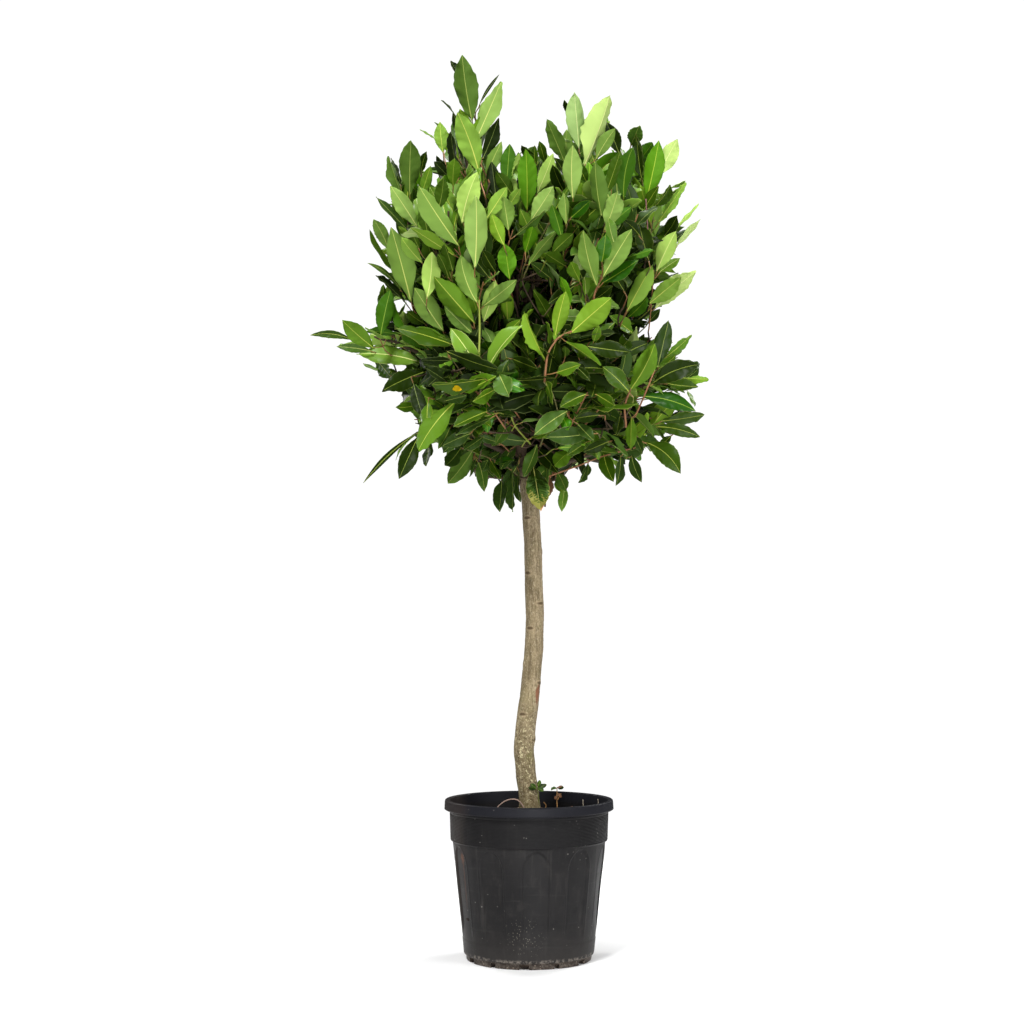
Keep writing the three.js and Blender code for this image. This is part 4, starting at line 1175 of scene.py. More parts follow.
class Skeleton:
    """Twigs that join every shoot to a bough by the nearest way, thick enough for all that they carry."""

    def __init__(self):
        self.at, self.way = np.zeros((60000, 3)), np.zeros((60000, 3))  # nodes
        self.owner = np.zeros(60000, int)
        self.count = 0
        self.paths = []  # line, parent path, shoots carried
        self.room = None  # where the head shows

    def add(self, line, parent, carried=0):
        me = len(self.paths)
        line = np.asarray(line)
        self.paths.append([line, parent, carried])
        n = len(line)
        here = slice(self.count, self.count + n)
        self.at[here] = line
        self.way[here] = unit(np.gradient(line, axis=0))
        self.owner[here] = me
        self.count += n
        return me

    def attach(self, start, way, rng, inward=False):
        """Joins a shoot that starts at start and heads along way."""
        P, D = self.at[: self.count], self.way[: self.count]
        gap = start[None] - P
        far = np.linalg.norm(gap, axis=1)
        ahead = gap / np.maximum(far, 1e-6)[:, None]
        turn = 1 - ahead @ way
        agree = 1 - np.sum(D * ahead, 1)
        cost = far * (1 + 0.55 * turn + 0.25 * agree) + np.where(far < 0.012, 1.0, 0)
        if inward:  # out of sight behind its own leaves
            cost = cost + np.where(P[:, 1] < start[1] + 0.014, 0.08, 0)
        best = None
        bow = rng.normal(0, 0.003, 3)
        for k in np.argpartition(cost, 7)[:7][np.argsort(np.partition(cost, 7)[:7])] if len(P) > 8 else [int(np.argmin(cost))]:
            a, b = P[k].copy(), start
            span = np.linalg.norm(b - a)
            ta = unit(D[k] * 0.6 + unit(b - a)) * span * 0.6
            tb = unit(way + unit(b - a) * 1.1) * span * 0.55
            t = np.linspace(0, 1, max(5, int(span / 0.012)))[:, None]
            line = (2 * t**3 - 3 * t**2 + 1) * a + (t**3 - 2 * t**2 + t) * ta + (-2 * t**3 + 3 * t**2) * b + (t**3 - t**2) * tb
            line = line + np.sin(math.pi * t) * bow
            bare = float(np.mean(self.room.at(pic(line)) < 0.5))
            if best is None or bare < best[0] - 0.05:
                best = (bare, int(k), line, span)
            if bare < 0.05:
                break
        _, k, line, span = best
        me = self.add(line, int(self.owner[k]))
        while me is not None:
            self.paths[me][2] += 1
            me = self.paths[me][1]
        return span


# The leaves that show best from the front, as they fall on the upright plane through the stem: foot x and z, tip x and z and
# width in mm, the side that faces the front (u for the underside), and how many layers lie before it.
LEADING = [
    (-101, 1492, -119, 1615, 43, "u", 1), (-114, 1554, -139, 1606, 15, "t", 2), (-90, 1523, -53, 1579, 6, "t", 2),
    (-96, 1458, -50, 1566, 41, "u", 1), (-89, 1400, -129, 1511, 44, "u", 0), (-84, 1425, -56, 1501, 25, "t", 2),
    (-130, 1503, -155, 1536, 4, "t", 2), (-154, 1437, -160, 1494, 27, "u", 0), (-167, 1462, -194, 1482, 5, "t", 1),
    (-153, 1473, -168, 1497, 5, "u", 1), (-214, 1360, -211, 1463, 41, "u", 1), (-228, 1356, -256, 1430, 17, "u", 1),
    (-230, 1376, -245, 1429, 12, "t", 2), (-194, 1398, -185, 1440, 14, "t", 2), (-194, 1358, -176, 1414, 21, "u", 2),
    (-200, 1303, -248, 1377, 30, "u", 0), (-215, 1294, -273, 1358, 15, "t", 1), (-124, 1267, -199, 1378, 45, "u", 0),
    (-120, 1309, -93, 1401, 42, "u", 1), (-97, 1229, -93, 1357, 43, "u", 0), (-132, 1251, -209, 1307, 21, "u", 1),
    (-251, 1260, -280, 1318, 24, "u", 1), (-211, 1168, -248, 1301, 45, "u", 0), (-233, 1215, -291, 1294, 11, "u", 1),
    (-191, 1238, -230, 1284, 27, "u", 1), (-183, 1173, -174, 1257, 36, "u", 1), (-228, 1186, -296, 1234, 10, "u", 1),
    (-219, 1164, -269, 1220, 16, "t", 2), (-92, 1165, -122, 1251, 38, "u", 0), (-96, 1128, -169, 1211, 42, "u", 0),
    (-82, 1160, -23, 1207, 31, "u", 0), (-83, 1129, -59, 1207, 31, "u", 1), (-97, 1107, -152, 1160, 28, "u", 1),
    (-153, 1114, -205, 1192, 42, "u", 0), (-266, 1106, -249, 1189, 34, "u", 1), (-260, 1139, -260, 1198, 16, "u", 1),
    (-185, 1127, -221, 1151, 20, "u", 1), (-131, 1088, -234, 1129, 35, "t", 0), (-315, 1098, -391, 1106, 14, "t", 1),
    (-276, 1083, -336, 1135, 34, "u", 1), (-192, 1057, -306, 1079, 38, "t", 0), (-253, 1099, -292, 1122, 11, "u", 2),
    (-281, 1079, -342, 1085, 16, "t", 2), (-276, 1066, -242, 1030, 25, "t", 2), (-263, 1043, -297, 1054, 4, "t", 2),
    (-182, 1043, -263, 1006, 38, "t", 0), (-136, 1063, -191, 1060, 14, "t", 1), (-149, 1080, -59, 1041, 24, "t", 0),
    (-75, 1030, -169, 1011, 21, "t", 0), (-53, 1037, -36, 1000, 39, "t", 0), (-26, 1026, 47, 1030, 19, "t", 0),
    (-130, 989, -196, 896, 45, "u", 0), (-207, 1022, -189, 960, 28, "t", 1), (-197, 984, -233, 977, 17, "t", 1),
    (-198, 933, -291, 843, 10, "t", 1), (-198, 926, -230, 851, 31, "t", 0), (-177, 917, -188, 876, 16, "t", 1),
    (-98, 905, -146, 839, 34, "u", 0), (-92, 883, -80, 829, 23, "t", 1), (-48, 847, -55, 797, 27, "t", 0),
    (-1, 917, -64, 928, 23, "t", 0), (8, 872, 21, 792, 44, "t", -1), (15, 912, -9, 854, 23, "t", 0),
    (45, 879, 14, 850, 27, "t", 1), (78, 901, 46, 872, 31, "u", 0), (51, 862, 67, 828, 23, "t", 1),
    (65, 837, 57, 796, 18, "t", 1), (113, 932, 33, 925, 34, "t", 0), (134, 897, 151, 848, 29, "t", 0),
    (164, 892, 161, 840, 19, "t", 1), (184, 892, 201, 847, 22, "t", 0), (106, 876, 93, 843, 13, "t", 1),
    (209, 915, 270, 862, 39, "t", 0), (226, 943, 303, 922, 22, "t", 0), (235, 953, 314, 962, 21, "t", 1),
    (198, 998, 298, 973, 30, "t", 0), (177, 975, 232, 928, 10, "u", 0), (184, 961, 182, 903, 20, "u", 0),
    (164, 964, 157, 927, 19, "t", 1), (282, 1011, 300, 982, 9, "t", 1), (275, 1030, 319, 1034, 15, "u", 1),
    (221, 1020, 304, 1054, 38, "t", 0), (248, 1021, 303, 1015, 23, "t", 1), (180, 1007, 226, 1092, 38, "u", 0),
    (180, 1005, 133, 1050, 34, "t", 0), (232, 1052, 251, 1133, 33, "t", 1), (243, 1066, 292, 1107, 19, "t", 2),
    (103, 1088, 182, 1076, 33, "t", 0), (67, 1096, 129, 1054, 14, "u", 0), (74, 1110, 148, 1174, 47, "u", 0),
    (47, 1102, 66, 1185, 31, "u", 0), (76, 1160, 57, 1215, 15, "u", 1), (46, 1121, 10, 1189, 18, "u", 1),
    (29, 1063, -12, 1147, 19, "u", 0), (117, 1171, 149, 1196, 23, "t", 1), (123, 1196, 98, 1295, 33, "u", 0),
    (133, 1212, 185, 1298, 39, "u", 0), (131, 1201, 195, 1244, 28, "t", 1), (131, 1237, 138, 1287, 31, "t", 1),
    (40, 1253, 82, 1292, 27, "u", 1), (92, 1204, 73, 1242, 24, "u", 1), (139, 1301, 162, 1370, 38, "u", 0),
    (155, 1272, 144, 1318, 23, "t", 0), (144, 1299, 185, 1340, 23, "u", 1), (216, 1242, 200, 1309, 33, "t", 1),
    (172, 1245, 223, 1263, 14, "u", 1), (230, 1223, 264, 1294, 35, "u", 0), (233, 1220, 272, 1244, 14, "t", 1),
    (265, 1267, 307, 1318, 11, "u", 1), (261, 1300, 308, 1343, 11, "u", 1), (233, 1311, 283, 1383, 24, "u", 0),
    (244, 1287, 267, 1323, 25, "t", 2), (212, 1353, 231, 1458, 36, "u", 0), (232, 1395, 268, 1462, 34, "u", 1),
    (199, 1425, 224, 1458, 23, "u", 1), (184, 1451, 199, 1486, 29, "t", 1), (171, 1353, 181, 1452, 34, "u", 1),
    (204, 1390, 195, 1458, 21, "t", 2), (164, 1434, 142, 1493, 27, "t", 2), (138, 1360, 164, 1442, 24, "u", 1),
    (100, 1414, 146, 1541, 35, "u", 0), (121, 1425, 156, 1481, 27, "u", 1), (91, 1445, 80, 1547, 36, "u", 0),
    (75, 1505, 65, 1535, 7, "t", 1), (80, 1354, 81, 1451, 34, "u", -1), (68, 1414, 34, 1499, 26, "u", 1),
    (30, 1419, 21, 1457, 17, "t", 2), (12, 1422, -13, 1453, 14, "t", 2), (-3, 1332, -4, 1443, 37, "u", 0),
    (15, 1364, 44, 1436, 27, "u", 1), (-40, 1375, -34, 1453, 31, "u", 0), (-35, 1392, -10, 1438, 17, "u", 1),
    (-80, 1387, -50, 1458, 25, "u", 1), (132, 1322, 118, 1421, 28, "u", 0), (4, 1314, 44, 1376, 35, "u", 0),
    (-79, 1314, -39, 1375, 28, "u", 1), (-36, 1297, -46, 1359, 34, "u", 0), (-37, 1339, -14, 1373, 21, "u", 1),
    (-44, 1269, -66, 1326, 28, "u", 1), (-34, 1208, -44, 1273, 37, "u", 0), (-59, 1221, -81, 1259, 24, "t", 2),
    (-7, 1255, 8, 1305, 28, "u", 1), (-26, 1286, 30, 1332, 11, "t", 0), (-1, 1233, 40, 1303, 16, "u", 0),
    (67, 1308, 63, 1365, 20, "u", 0), (60, 1280, 42, 1343, 24, "u", 1), (75, 1319, 110, 1351, 23, "t", 1),
    (-18, 1153, -6, 1222, 31, "u", 0), (176, 1150, 222, 1234, 35, "u", 0), (216, 1164, 273, 1211, 35, "u", 0),
    (226, 1154, 300, 1222, 35, "u", 1), (177, 1139, 214, 1177, 28, "u", 1), (-147, 1024, -183, 1049, 20, "t", 1),
    (49, 1040, 91, 1055, 25, "t", 0), (87, 1049, 109, 1027, 17, "t", 1), (104, 1002, 55, 977, 28, "t", 0),
    (120, 1002, 156, 980, 22, "t", 0), (71, 972, 10, 928, 34, "t", 0), (-14, 951, 19, 959, 6, "u", 0),
    (84, 1198, 37, 1165, 22, "t", 2), (7, 1198, 46, 1143, 27, "t", 2), (-152, 989, -111, 1000, 16, "t", 1),
    (-180, 989, -185, 945, 20, "t", 1), (-31, 1066, 15, 1047, 22, "t", 1), (-59, 1011, -103, 989, 21, "t", 1),
    (-31, 956, -59, 912, 24, "t", 1), (-103, 931, -152, 909, 25, "t", 1), (29, 1027, 45, 983, 16, "t", 1),
    (86, 950, 117, 917, 24, "t", 1), (128, 964, 84, 956, 19, "t", 1), (144, 917, 100, 898, 19, "t", 1),
    (188, 928, 204, 898, 16, "t", 1), (256, 928, 232, 906, 14, "t", 2), (-71, 892, -82, 865, 19, "t", 1),
    (-31, 906, -48, 868, 19, "t", 1), (-103, 1287, -75, 1332, 22, "u", 2), (-164, 1332, -153, 1393, 27, "u", 2),
    (-180, 1287, -191, 1343, 27, "u", 2), (-136, 1221, -153, 1276, 28, "u", 2), (-144, 1210, -163, 1254, 19, "u", 2),
    (-70, 1210, -103, 1254, 24, "t", 3), (40, 1210, 7, 1237, 22, "t", 2), (68, 1232, 29, 1259, 22, "u", 2),
    (101, 1143, 62, 1143, 24, "t", 2), (172, 1187, 145, 1232, 25, "t", 2), (188, 1110, 155, 1143, 24, "t", 2),
    (200, 1287, 172, 1315, 22, "t", 2), (206, 1332, 233, 1376, 22, "t", 3), (106, 1382, 87, 1421, 22, "t", 3),
    (-26, 1354, -59, 1404, 27, "u", 3), (65, 1365, 43, 1415, 19, "t", 3), (-59, 1354, -67, 1421, 26, "t", 3),
    (-147, 1398, -169, 1421, 20, "t", 3), (-136, 1376, -133, 1426, 27, "u", 2), (-73, 971, -134, 944, 23, "t", 0),
    (-66, 959, -132, 935, 14, "t", 1), (-121, 906, -153, 867, 29, "t", 1), (-105, 917, -91, 889, 13, "t", 0),
    (-84, 881, -68, 851, 9, "t", 1), (-94, 887, -103, 853, 5, "t", 0), (-69, 883, -48, 853, 13, "t", 0),
    (-64, 878, -28, 885, 13, "t", 0), (-30, 869, -34, 792, 16, "t", 0), (-16, 880, -50, 813, 23, "t", 2),
    (-17, 865, -21, 811, 11, "t", 1), (38, 854, 35, 817, 14, "t", 1), (49, 851, 59, 826, 18, "t", 1),
    (13, 905, 49, 865, 29, "t", 2), (34, 892, 29, 847, 16, "t", 1), (-57, 968, -25, 964, 13, "t", 1),
    (-141, 941, -162, 906, 21, "t", 1), (-127, 923, -152, 898, 18, "t", 1), (-80, 926, -116, 901, 18, "t", 1),
    (-55, 915, -87, 926, 16, "t", 1), (-43, 937, -66, 908, 18, "t", 1), (-25, 910, -43, 880, 16, "t", 2),
    (106, 878, 104, 854, 11, "t", 1), (29, 946, 60, 919, 20, "t", 2), (-51, 898, -77, 880, 14, "t", 2),
    (-105, 946, -132, 924, 16, "t", 2), (-25, 955, 2, 933, 18, "t", 2), (47, 883, 83, 898, 18, "t", 2),
    (-141, 1012, -120, 1009, 11, "u", -1), (4, 923, 43, 935, 14, "t", 0), (60, 962, 72, 935, 21, "t", 1),
    (106, 917, 72, 895, 20, "t", 1), (52, 905, 99, 908, 14, "t", 2), (224, 1338, 256, 1376, 13, "t", 1),
    (251, 1372, 282, 1390, 4, "t", 1), (201, 1403, 186, 1472, 16, "t", 2), (67, 1392, 49, 1429, 14, "t", 2),
    (13, 1414, 10, 1450, 14, "t", 2), (-124, 1389, -144, 1474, 16, "t", 2), (-147, 1403, -165, 1434, 9, "t", 2),
    (-115, 1407, -133, 1512, 16, "t", 3), (214, 1130, 236, 1155, 16, "t", 1),
]
# The few leaves that are going over: the foot of each, and what it has turned.
GOING_OVER = {(8, 872): "yellowing", (38, 854): "brown", (-141, 1012): "yellow"}
# Leaves of the table whose rib is plainly bowed: its foot, and how far the middle stands to the left, as a share of the length.
BOWED = {
    (-101, 1492): 0.02,
    (-90, 1523): 0.04,
    (-228, 1186): -0.12,
    (-315, 1098): -0.1,
    (-192, 1057): -0.05,
    (-281, 1079): -0.03,
    (-130, 989): -0.06,
    (-198, 933): -0.05,
    (-98, 905): 0.03,
    (209, 915): 0.1,
    (226, 943): 0.07,
    (198, 998): 0.06,
    (221, 1020): 0.07,
}

# Stems that show between them: layers before them, radius in mm, colour, and points from the foot up.
STEMS = [
    (-1, 2.0, "green", [(-89, 1074), (-88, 1122), (-89, 1171)]),
    (1, 1.5, "olive", [(-86, 1012), (-82, 1041), (-89, 1074)]),
    (0, 1.9, "red", [(29, 1030), (35, 1074), (51, 1101)]),
    (0, 1.5, "red", [(51, 1101), (65, 1110), (78, 1115)]),
    (0, 1.7, "green", [(-1, 917), (-28, 951), (-37, 1000)]),
    (1, 1.1, "olive", [(-39, 935), (-50, 953), (-59, 973)]),
    (1, 1.4, "red", [(-46, 946), (-77, 989), (-98, 1009)]),
    (0, 1.2, "olive", [(51, 975), (42, 1004), (27, 1023)]),
    (0, 1.2, "red", [(-197, 1146), (-211, 1168), (-222, 1186)]),
    (0, 1.8, "red", [(174, 951), (172, 980), (183, 1011)]),
    (0, 1.6, "red", [(194, 969), (207, 998), (226, 1045)]),
    (0, 1.5, "red", [(117, 1171), (121, 1191), (134, 1215)]),
    (0, 1.2, "red", [(167, 1131), (173, 1146), (178, 1159)]),
    (1, 1.3, "red", [(216, 1121), (220, 1160), (225, 1225)]),
    (1, 1.4, "purple", [(215, 1283), (213, 1320), (211, 1354)]),
    (0, 1.1, "red", [(-149, 1414), (-151, 1427), (-153, 1440)]),
    (0, 1.3, "red", [(-79, 1361), (-86, 1383), (-91, 1403)]),
    (1, 1.1, "red", [(-14, 1229), (-8, 1254), (-3, 1282)]),
    (1, 1.1, "olive", [(-23, 858), (-55, 880), (-121, 906)]),
    (2, 3.0, "dark", [(-8, 1063), (-16, 1135), (-23, 1206)]),
    (2, 2.2, "dark", [(-52, 1059), (-52, 1117), (-53, 1171)]),
    (0, 1.5, "red", [(34, 853), (67, 865), (97, 876), (127, 888), (163, 898), (201, 908)]),
    (1, 1.2, "olive", [(-80, 1074), (-57, 1094), (-26, 1104)]),
]

# The outline of the head on the same plane, and the small gaps in it that sky shows through: middle and half sizes in mm.
OUTLINE = [
    (-122, 1616), (-88, 1554), (-86, 1518), (-62, 1560), (-43, 1566), (-56, 1476), (-47, 1451), (-15, 1444), (-4, 1454),
    (13, 1451), (20, 1454), (37, 1441), (33, 1497), (64, 1476), (68, 1532), (79, 1546), (105, 1504), (105, 1476), (148, 1539), (143, 1497),
    (151, 1497), (174, 1462), (187, 1486), (209, 1481), (205, 1457), (234, 1458), (273, 1462), (265, 1421), (240, 1393),
    (244, 1365), (285, 1384), (272, 1351), (239, 1309), (266, 1324), (309, 1337), (306, 1309), (267, 1262), (261, 1232),
    (272, 1218), (301, 1222), (288, 1179), (238, 1151), (223, 1140), (213, 1110), (230, 1107), (252, 1130), (257, 1096),
    (293, 1108), (287, 1085), (262, 1066), (305, 1063), (321, 1030), (295, 1011), (301, 982), (296, 974), (315, 958),
    (281, 946), (302, 917), (254, 925), (273, 858), (226, 898), (205, 894), (200, 846), (175, 884), (170, 841), (154, 841),
    (122, 882), (96, 842), (75, 868), (68, 846), (71, 795), (57, 795), (50, 846), (37, 838), (26, 790), (-8, 818), (-14, 851),
    (-23, 818), (-29, 790), (-54, 795), (-63, 835), (-80, 828), (-103, 865), (-146, 839), (-144, 873), (-159, 890), (-174, 917),
    (-184, 875), (-197, 898), (-230, 853), (-223, 890), (-289, 845), (-270, 895), (-210, 928), (-199, 947), (-213, 969),
    (-234, 977), (-228, 1004), (-261, 1011), (-254, 1033), (-276, 1063), (-301, 1078), (-338, 1087), (-391, 1104), (-356, 1114),
    (-320, 1109), (-336, 1134), (-295, 1120), (-280, 1122), (-274, 1154), (-287, 1181), (-253, 1190), (-268, 1217),
    (-247, 1226), (-255, 1243), (-294, 1293), (-280, 1316), (-246, 1290), (-231, 1287), (-247, 1320), (-274, 1358),
    (-246, 1348), (-256, 1429), (-234, 1398), (-212, 1461), (-194, 1422), (-184, 1441), (-185, 1411), (-173, 1415),
    (-168, 1405), (-164, 1457), (-195, 1482), (-169, 1472), (-168, 1497), (-147, 1483), (-155, 1536), (-133, 1511),
    (-132, 1571), (-140, 1606),
]
GAPS = [
    (50, 1405, 5, 5), (-165, 1164, 4, 4), (-28, 1076, 4, 4), (-57, 1054, 5, 4), (-60, 946, 4, 3), (-26, 1449, 5, 8),
    (-75, 1279, 3, 5),
    (135, 1425, 4, 16), (50, 1401, 5, 7), (-169, 1387, 4, 12), (-166, 1240, 5, 18), (-163, 1162, 5, 5), (239, 1378, 4, 13),
    (218, 1119, 10, 9), (-128, 910, 7, 3), (-164, 898, 8, 16), (-73, 896, 5, 4), (79, 860, 14, 4), (120, 872, 5, 4),
    (-231, 1166, 6, 8), (-207, 946, 8, 14), (-220, 1077, 3, 3), (-233, 1050, 5, 6), (95, 1012, 7, 6), (114, 968, 6, 5),
    (201, 995, 8, 4), (219, 984, 6, 5), (37, 1458, 4, 18),
]


class Near:
    """Points kept so that the nearest of them is found quickly."""

    def __init__(self, room):
        self.at = np.full((room, 3), 99.0)
        self.count = 0

    def add(self, p):
        self.at[self.count] = p
        self.count += 1

    def closest(self, p):
        d = self.at[: max(self.count, 1)] - p
        return math.sqrt(np.min(np.einsum("ij,ij->i", d, d)))


def front_of(masses):
    """How near the camera the head comes at each x and z of the upright plane, smoothed."""
    step = 0.012
    xs = np.arange(-0.44, 0.38, step)
    zs = np.arange(0.72, 1.68, step)
    y = np.full((len(xs), len(zs)), np.nan)
    eye = Vector(EYE)
    for i, x in enumerate(xs):
        for j, z in enumerate(zs):
            way = (Vector((x, 0, z)) - eye).normalized()
            hits = [m.tree.ray_cast(eye, way)[0] for m in masses.values()]
            hits = [h.y for h in hits if h is not None]
            if hits:
                y[i, j] = min(hits)
    known = ~np.isnan(y)
    level = np.where(known, y, 0)
    weight = known.astype(float)
    for k in range(14):
        pad = np.pad(level * weight, 1), np.pad(weight, 1)
        s = [sum(p[1 + a : p.shape[0] - 1 + a, 1 + b : p.shape[1] - 1 + b] for a in (-1, 0, 1) for b in (-1, 0, 1)) for p in pad]
        spread = s[0] / np.maximum(s[1], 1e-9)
        if k < 11:  # fill outwards first
            level = np.where(weight > 0, level, spread)
            weight = np.where(s[1] > 0, 1.0, 0.0)
        else:
            level = spread

    def front(x, z):
        i = np.clip((x - xs[0]) / step, 0, len(xs) - 1.001)
        j = np.clip((z - zs[0]) / step, 0, len(zs) - 1.001)
        i0, j0 = int(i), int(j)
        u, v = i - i0, j - j0
        return float(
            level[i0, j0] * (1 - u) * (1 - v) + level[i0 + 1, j0] * u * (1 - v) + level[i0, j0 + 1] * (1 - u) * v + level[i0 + 1, j0 + 1] * u * v
        )

    return front


def set_at(front, x, z, layer):
    """How deep a thing seen at x, z is set; about the top of the stem it stays before it."""
    y = front(x, z) + 0.012 + 0.015 * layer
    about = 1 - smoothstep(0.93, 1.0, z) * (1 - smoothstep(0.10, 0.20, abs(x)))
    return y if z > 1.0 or abs(x) > 0.20 else min(y, y * (1 - about) + (-0.052 + 0.014 * layer) * about)


STEM_COLOURS = ["green", "red", "olive", "dark", "purple"]


def leading_leaves(front, rng):
    """The leaves of the table, set at the front of the head, and the stems that carry them."""
    leaves = []
    for bx, bz, tx, tz, width, side, layer in LEADING:
        y = set_at(front, (bx * 0.6 + tx * 0.4) * MM, (bz * 0.6 + tz * 0.4) * MM, layer)
        flat = math.hypot(tx - bx, tz - bz) * MM
        k = (y - EYE[1]) / (0 - EYE[1])
        lean = math.radians(rng.uniform(8, 24))
        if flat < 0.055:
            lean = math.radians(rng.uniform(30, 48))
        base = from_pic(bx * MM, bz * MM, y)
        tip = from_pic(tx * MM, tz * MM, y - flat * math.tan(lean))
        L = np.linalg.norm(tip - base)
        T = (tip - base) / L
        W = width * MM * k
        natural = L * rng.uniform(0.35, 0.39)
        shown = W / natural
        if shown < 0.5:  # seen almost on edge: folded and narrow
            natural *= 0.62 + 0.3 * shown
        if (bx, bz) in BOWED:
            natural = min(natural, W * 1.05)
        roll = math.acos(np.clip(W / natural, 0.15, 1)) * rng.choice([-1, 1])
        W = max(W * 0.97, natural)
        face = np.array([0, 1.0, 0]) if side == "u" else np.array([0, -1.0, 0])
        N = unit(face - T * np.dot(T, face))
        N = N * math.cos(roll) + np.cross(T, N) * math.sin(roll)
        leaves.append(
            dict(
                base=base, T=T, N=N, L=L * 1.02, W=W, bend=float(np.clip(rng.normal(-0.12, 0.18), -0.45, 0.3)), twist=rng.normal(0, 0.18),
                fold=abs(rng.normal(0.24, 0.12)), seed=rng.uniform(0, 1), tint=GOING_OVER.get((bx, bz)), margin=int(side == "t"), layer=layer,
                sweep=4 * BOWED.get((bx, bz), rng.normal(0, 0.022)) * (1 if side == "u" else -1),
                calm=0.2 if shown < 0.5 else 0.9,
            )
        )
    groups = []
    for l in sorted(leaves, key=lambda l: -l["base"][2]):
        for g in groups:
            c = np.mean([m["base"] for m in g], 0)
            d = l["base"] - c
            if math.hypot(d[0], d[2]) < 0.026 and abs(d[1]) < 0.03:
                g.append(l)
                break
        else:
            groups.append([l])
    for i, g in enumerate(groups):
        for m in g:
            m["spray"] = i
    stems = []
    for layer, r, colour, points in STEMS:
        row = []
        for x, z in points:
            row.append(from_pic(x * MM, z * MM, set_at(front, x * MM, z * MM, layer) + 0.004))
        y = np.mean([p[1] for p in row])
        row = [from_pic(x * MM, z * MM, 0.4 * p[1] + 0.6 * y) for p, (x, z) in zip(row, points)]
        line = smooth_line([row[0] + unit(row[0] - row[1]) * 0.008 + np.array([0, 0.010, 0])] + row, 14)
        stems.append((line, (r * 1.05 * MM, r * 0.85 * MM, STEM_COLOURS.index(colour) + 1)))
    shown = np.concatenate([line for line, _ in stems])
    for g in groups:
        way = unit(np.mean([m["T"] for m in g], 0) + np.array([0, 0, 0.15]))
        c = np.mean([m["base"] for m in g], 0)
        reach = [float(np.dot(m["base"] - c, way)) for m in g]
        back = np.array([0, 0.009, 0])
        top = c + way * (max(reach) + 0.004) + back
        low = c + way * (min(reach) - 0.012) + back
        foot = low - way * 0.010 + np.array([-c[0] * 0.05, 0.034, -0.004])
        line = smooth_line([foot, low, (low + top) / 2 + way * 1e-4, top + way * 2e-4], 12)
        own = 0
        for m in g:
            want = m["base"] - m["T"] * 0.010
            near = np.linalg.norm(shown - want, axis=1)
            if near.min() < 0.016:
                m["stem"] = shown[int(np.argmin(near))]
                continue
            own += 1
            m["stem"] = line[int(np.argmin(np.linalg.norm(line - want, axis=1)))]
        if own:
            stems.append((line, (0.0013, 0.0009, int(rng.choice([1, 2, 3])))))
    return leaves, stems


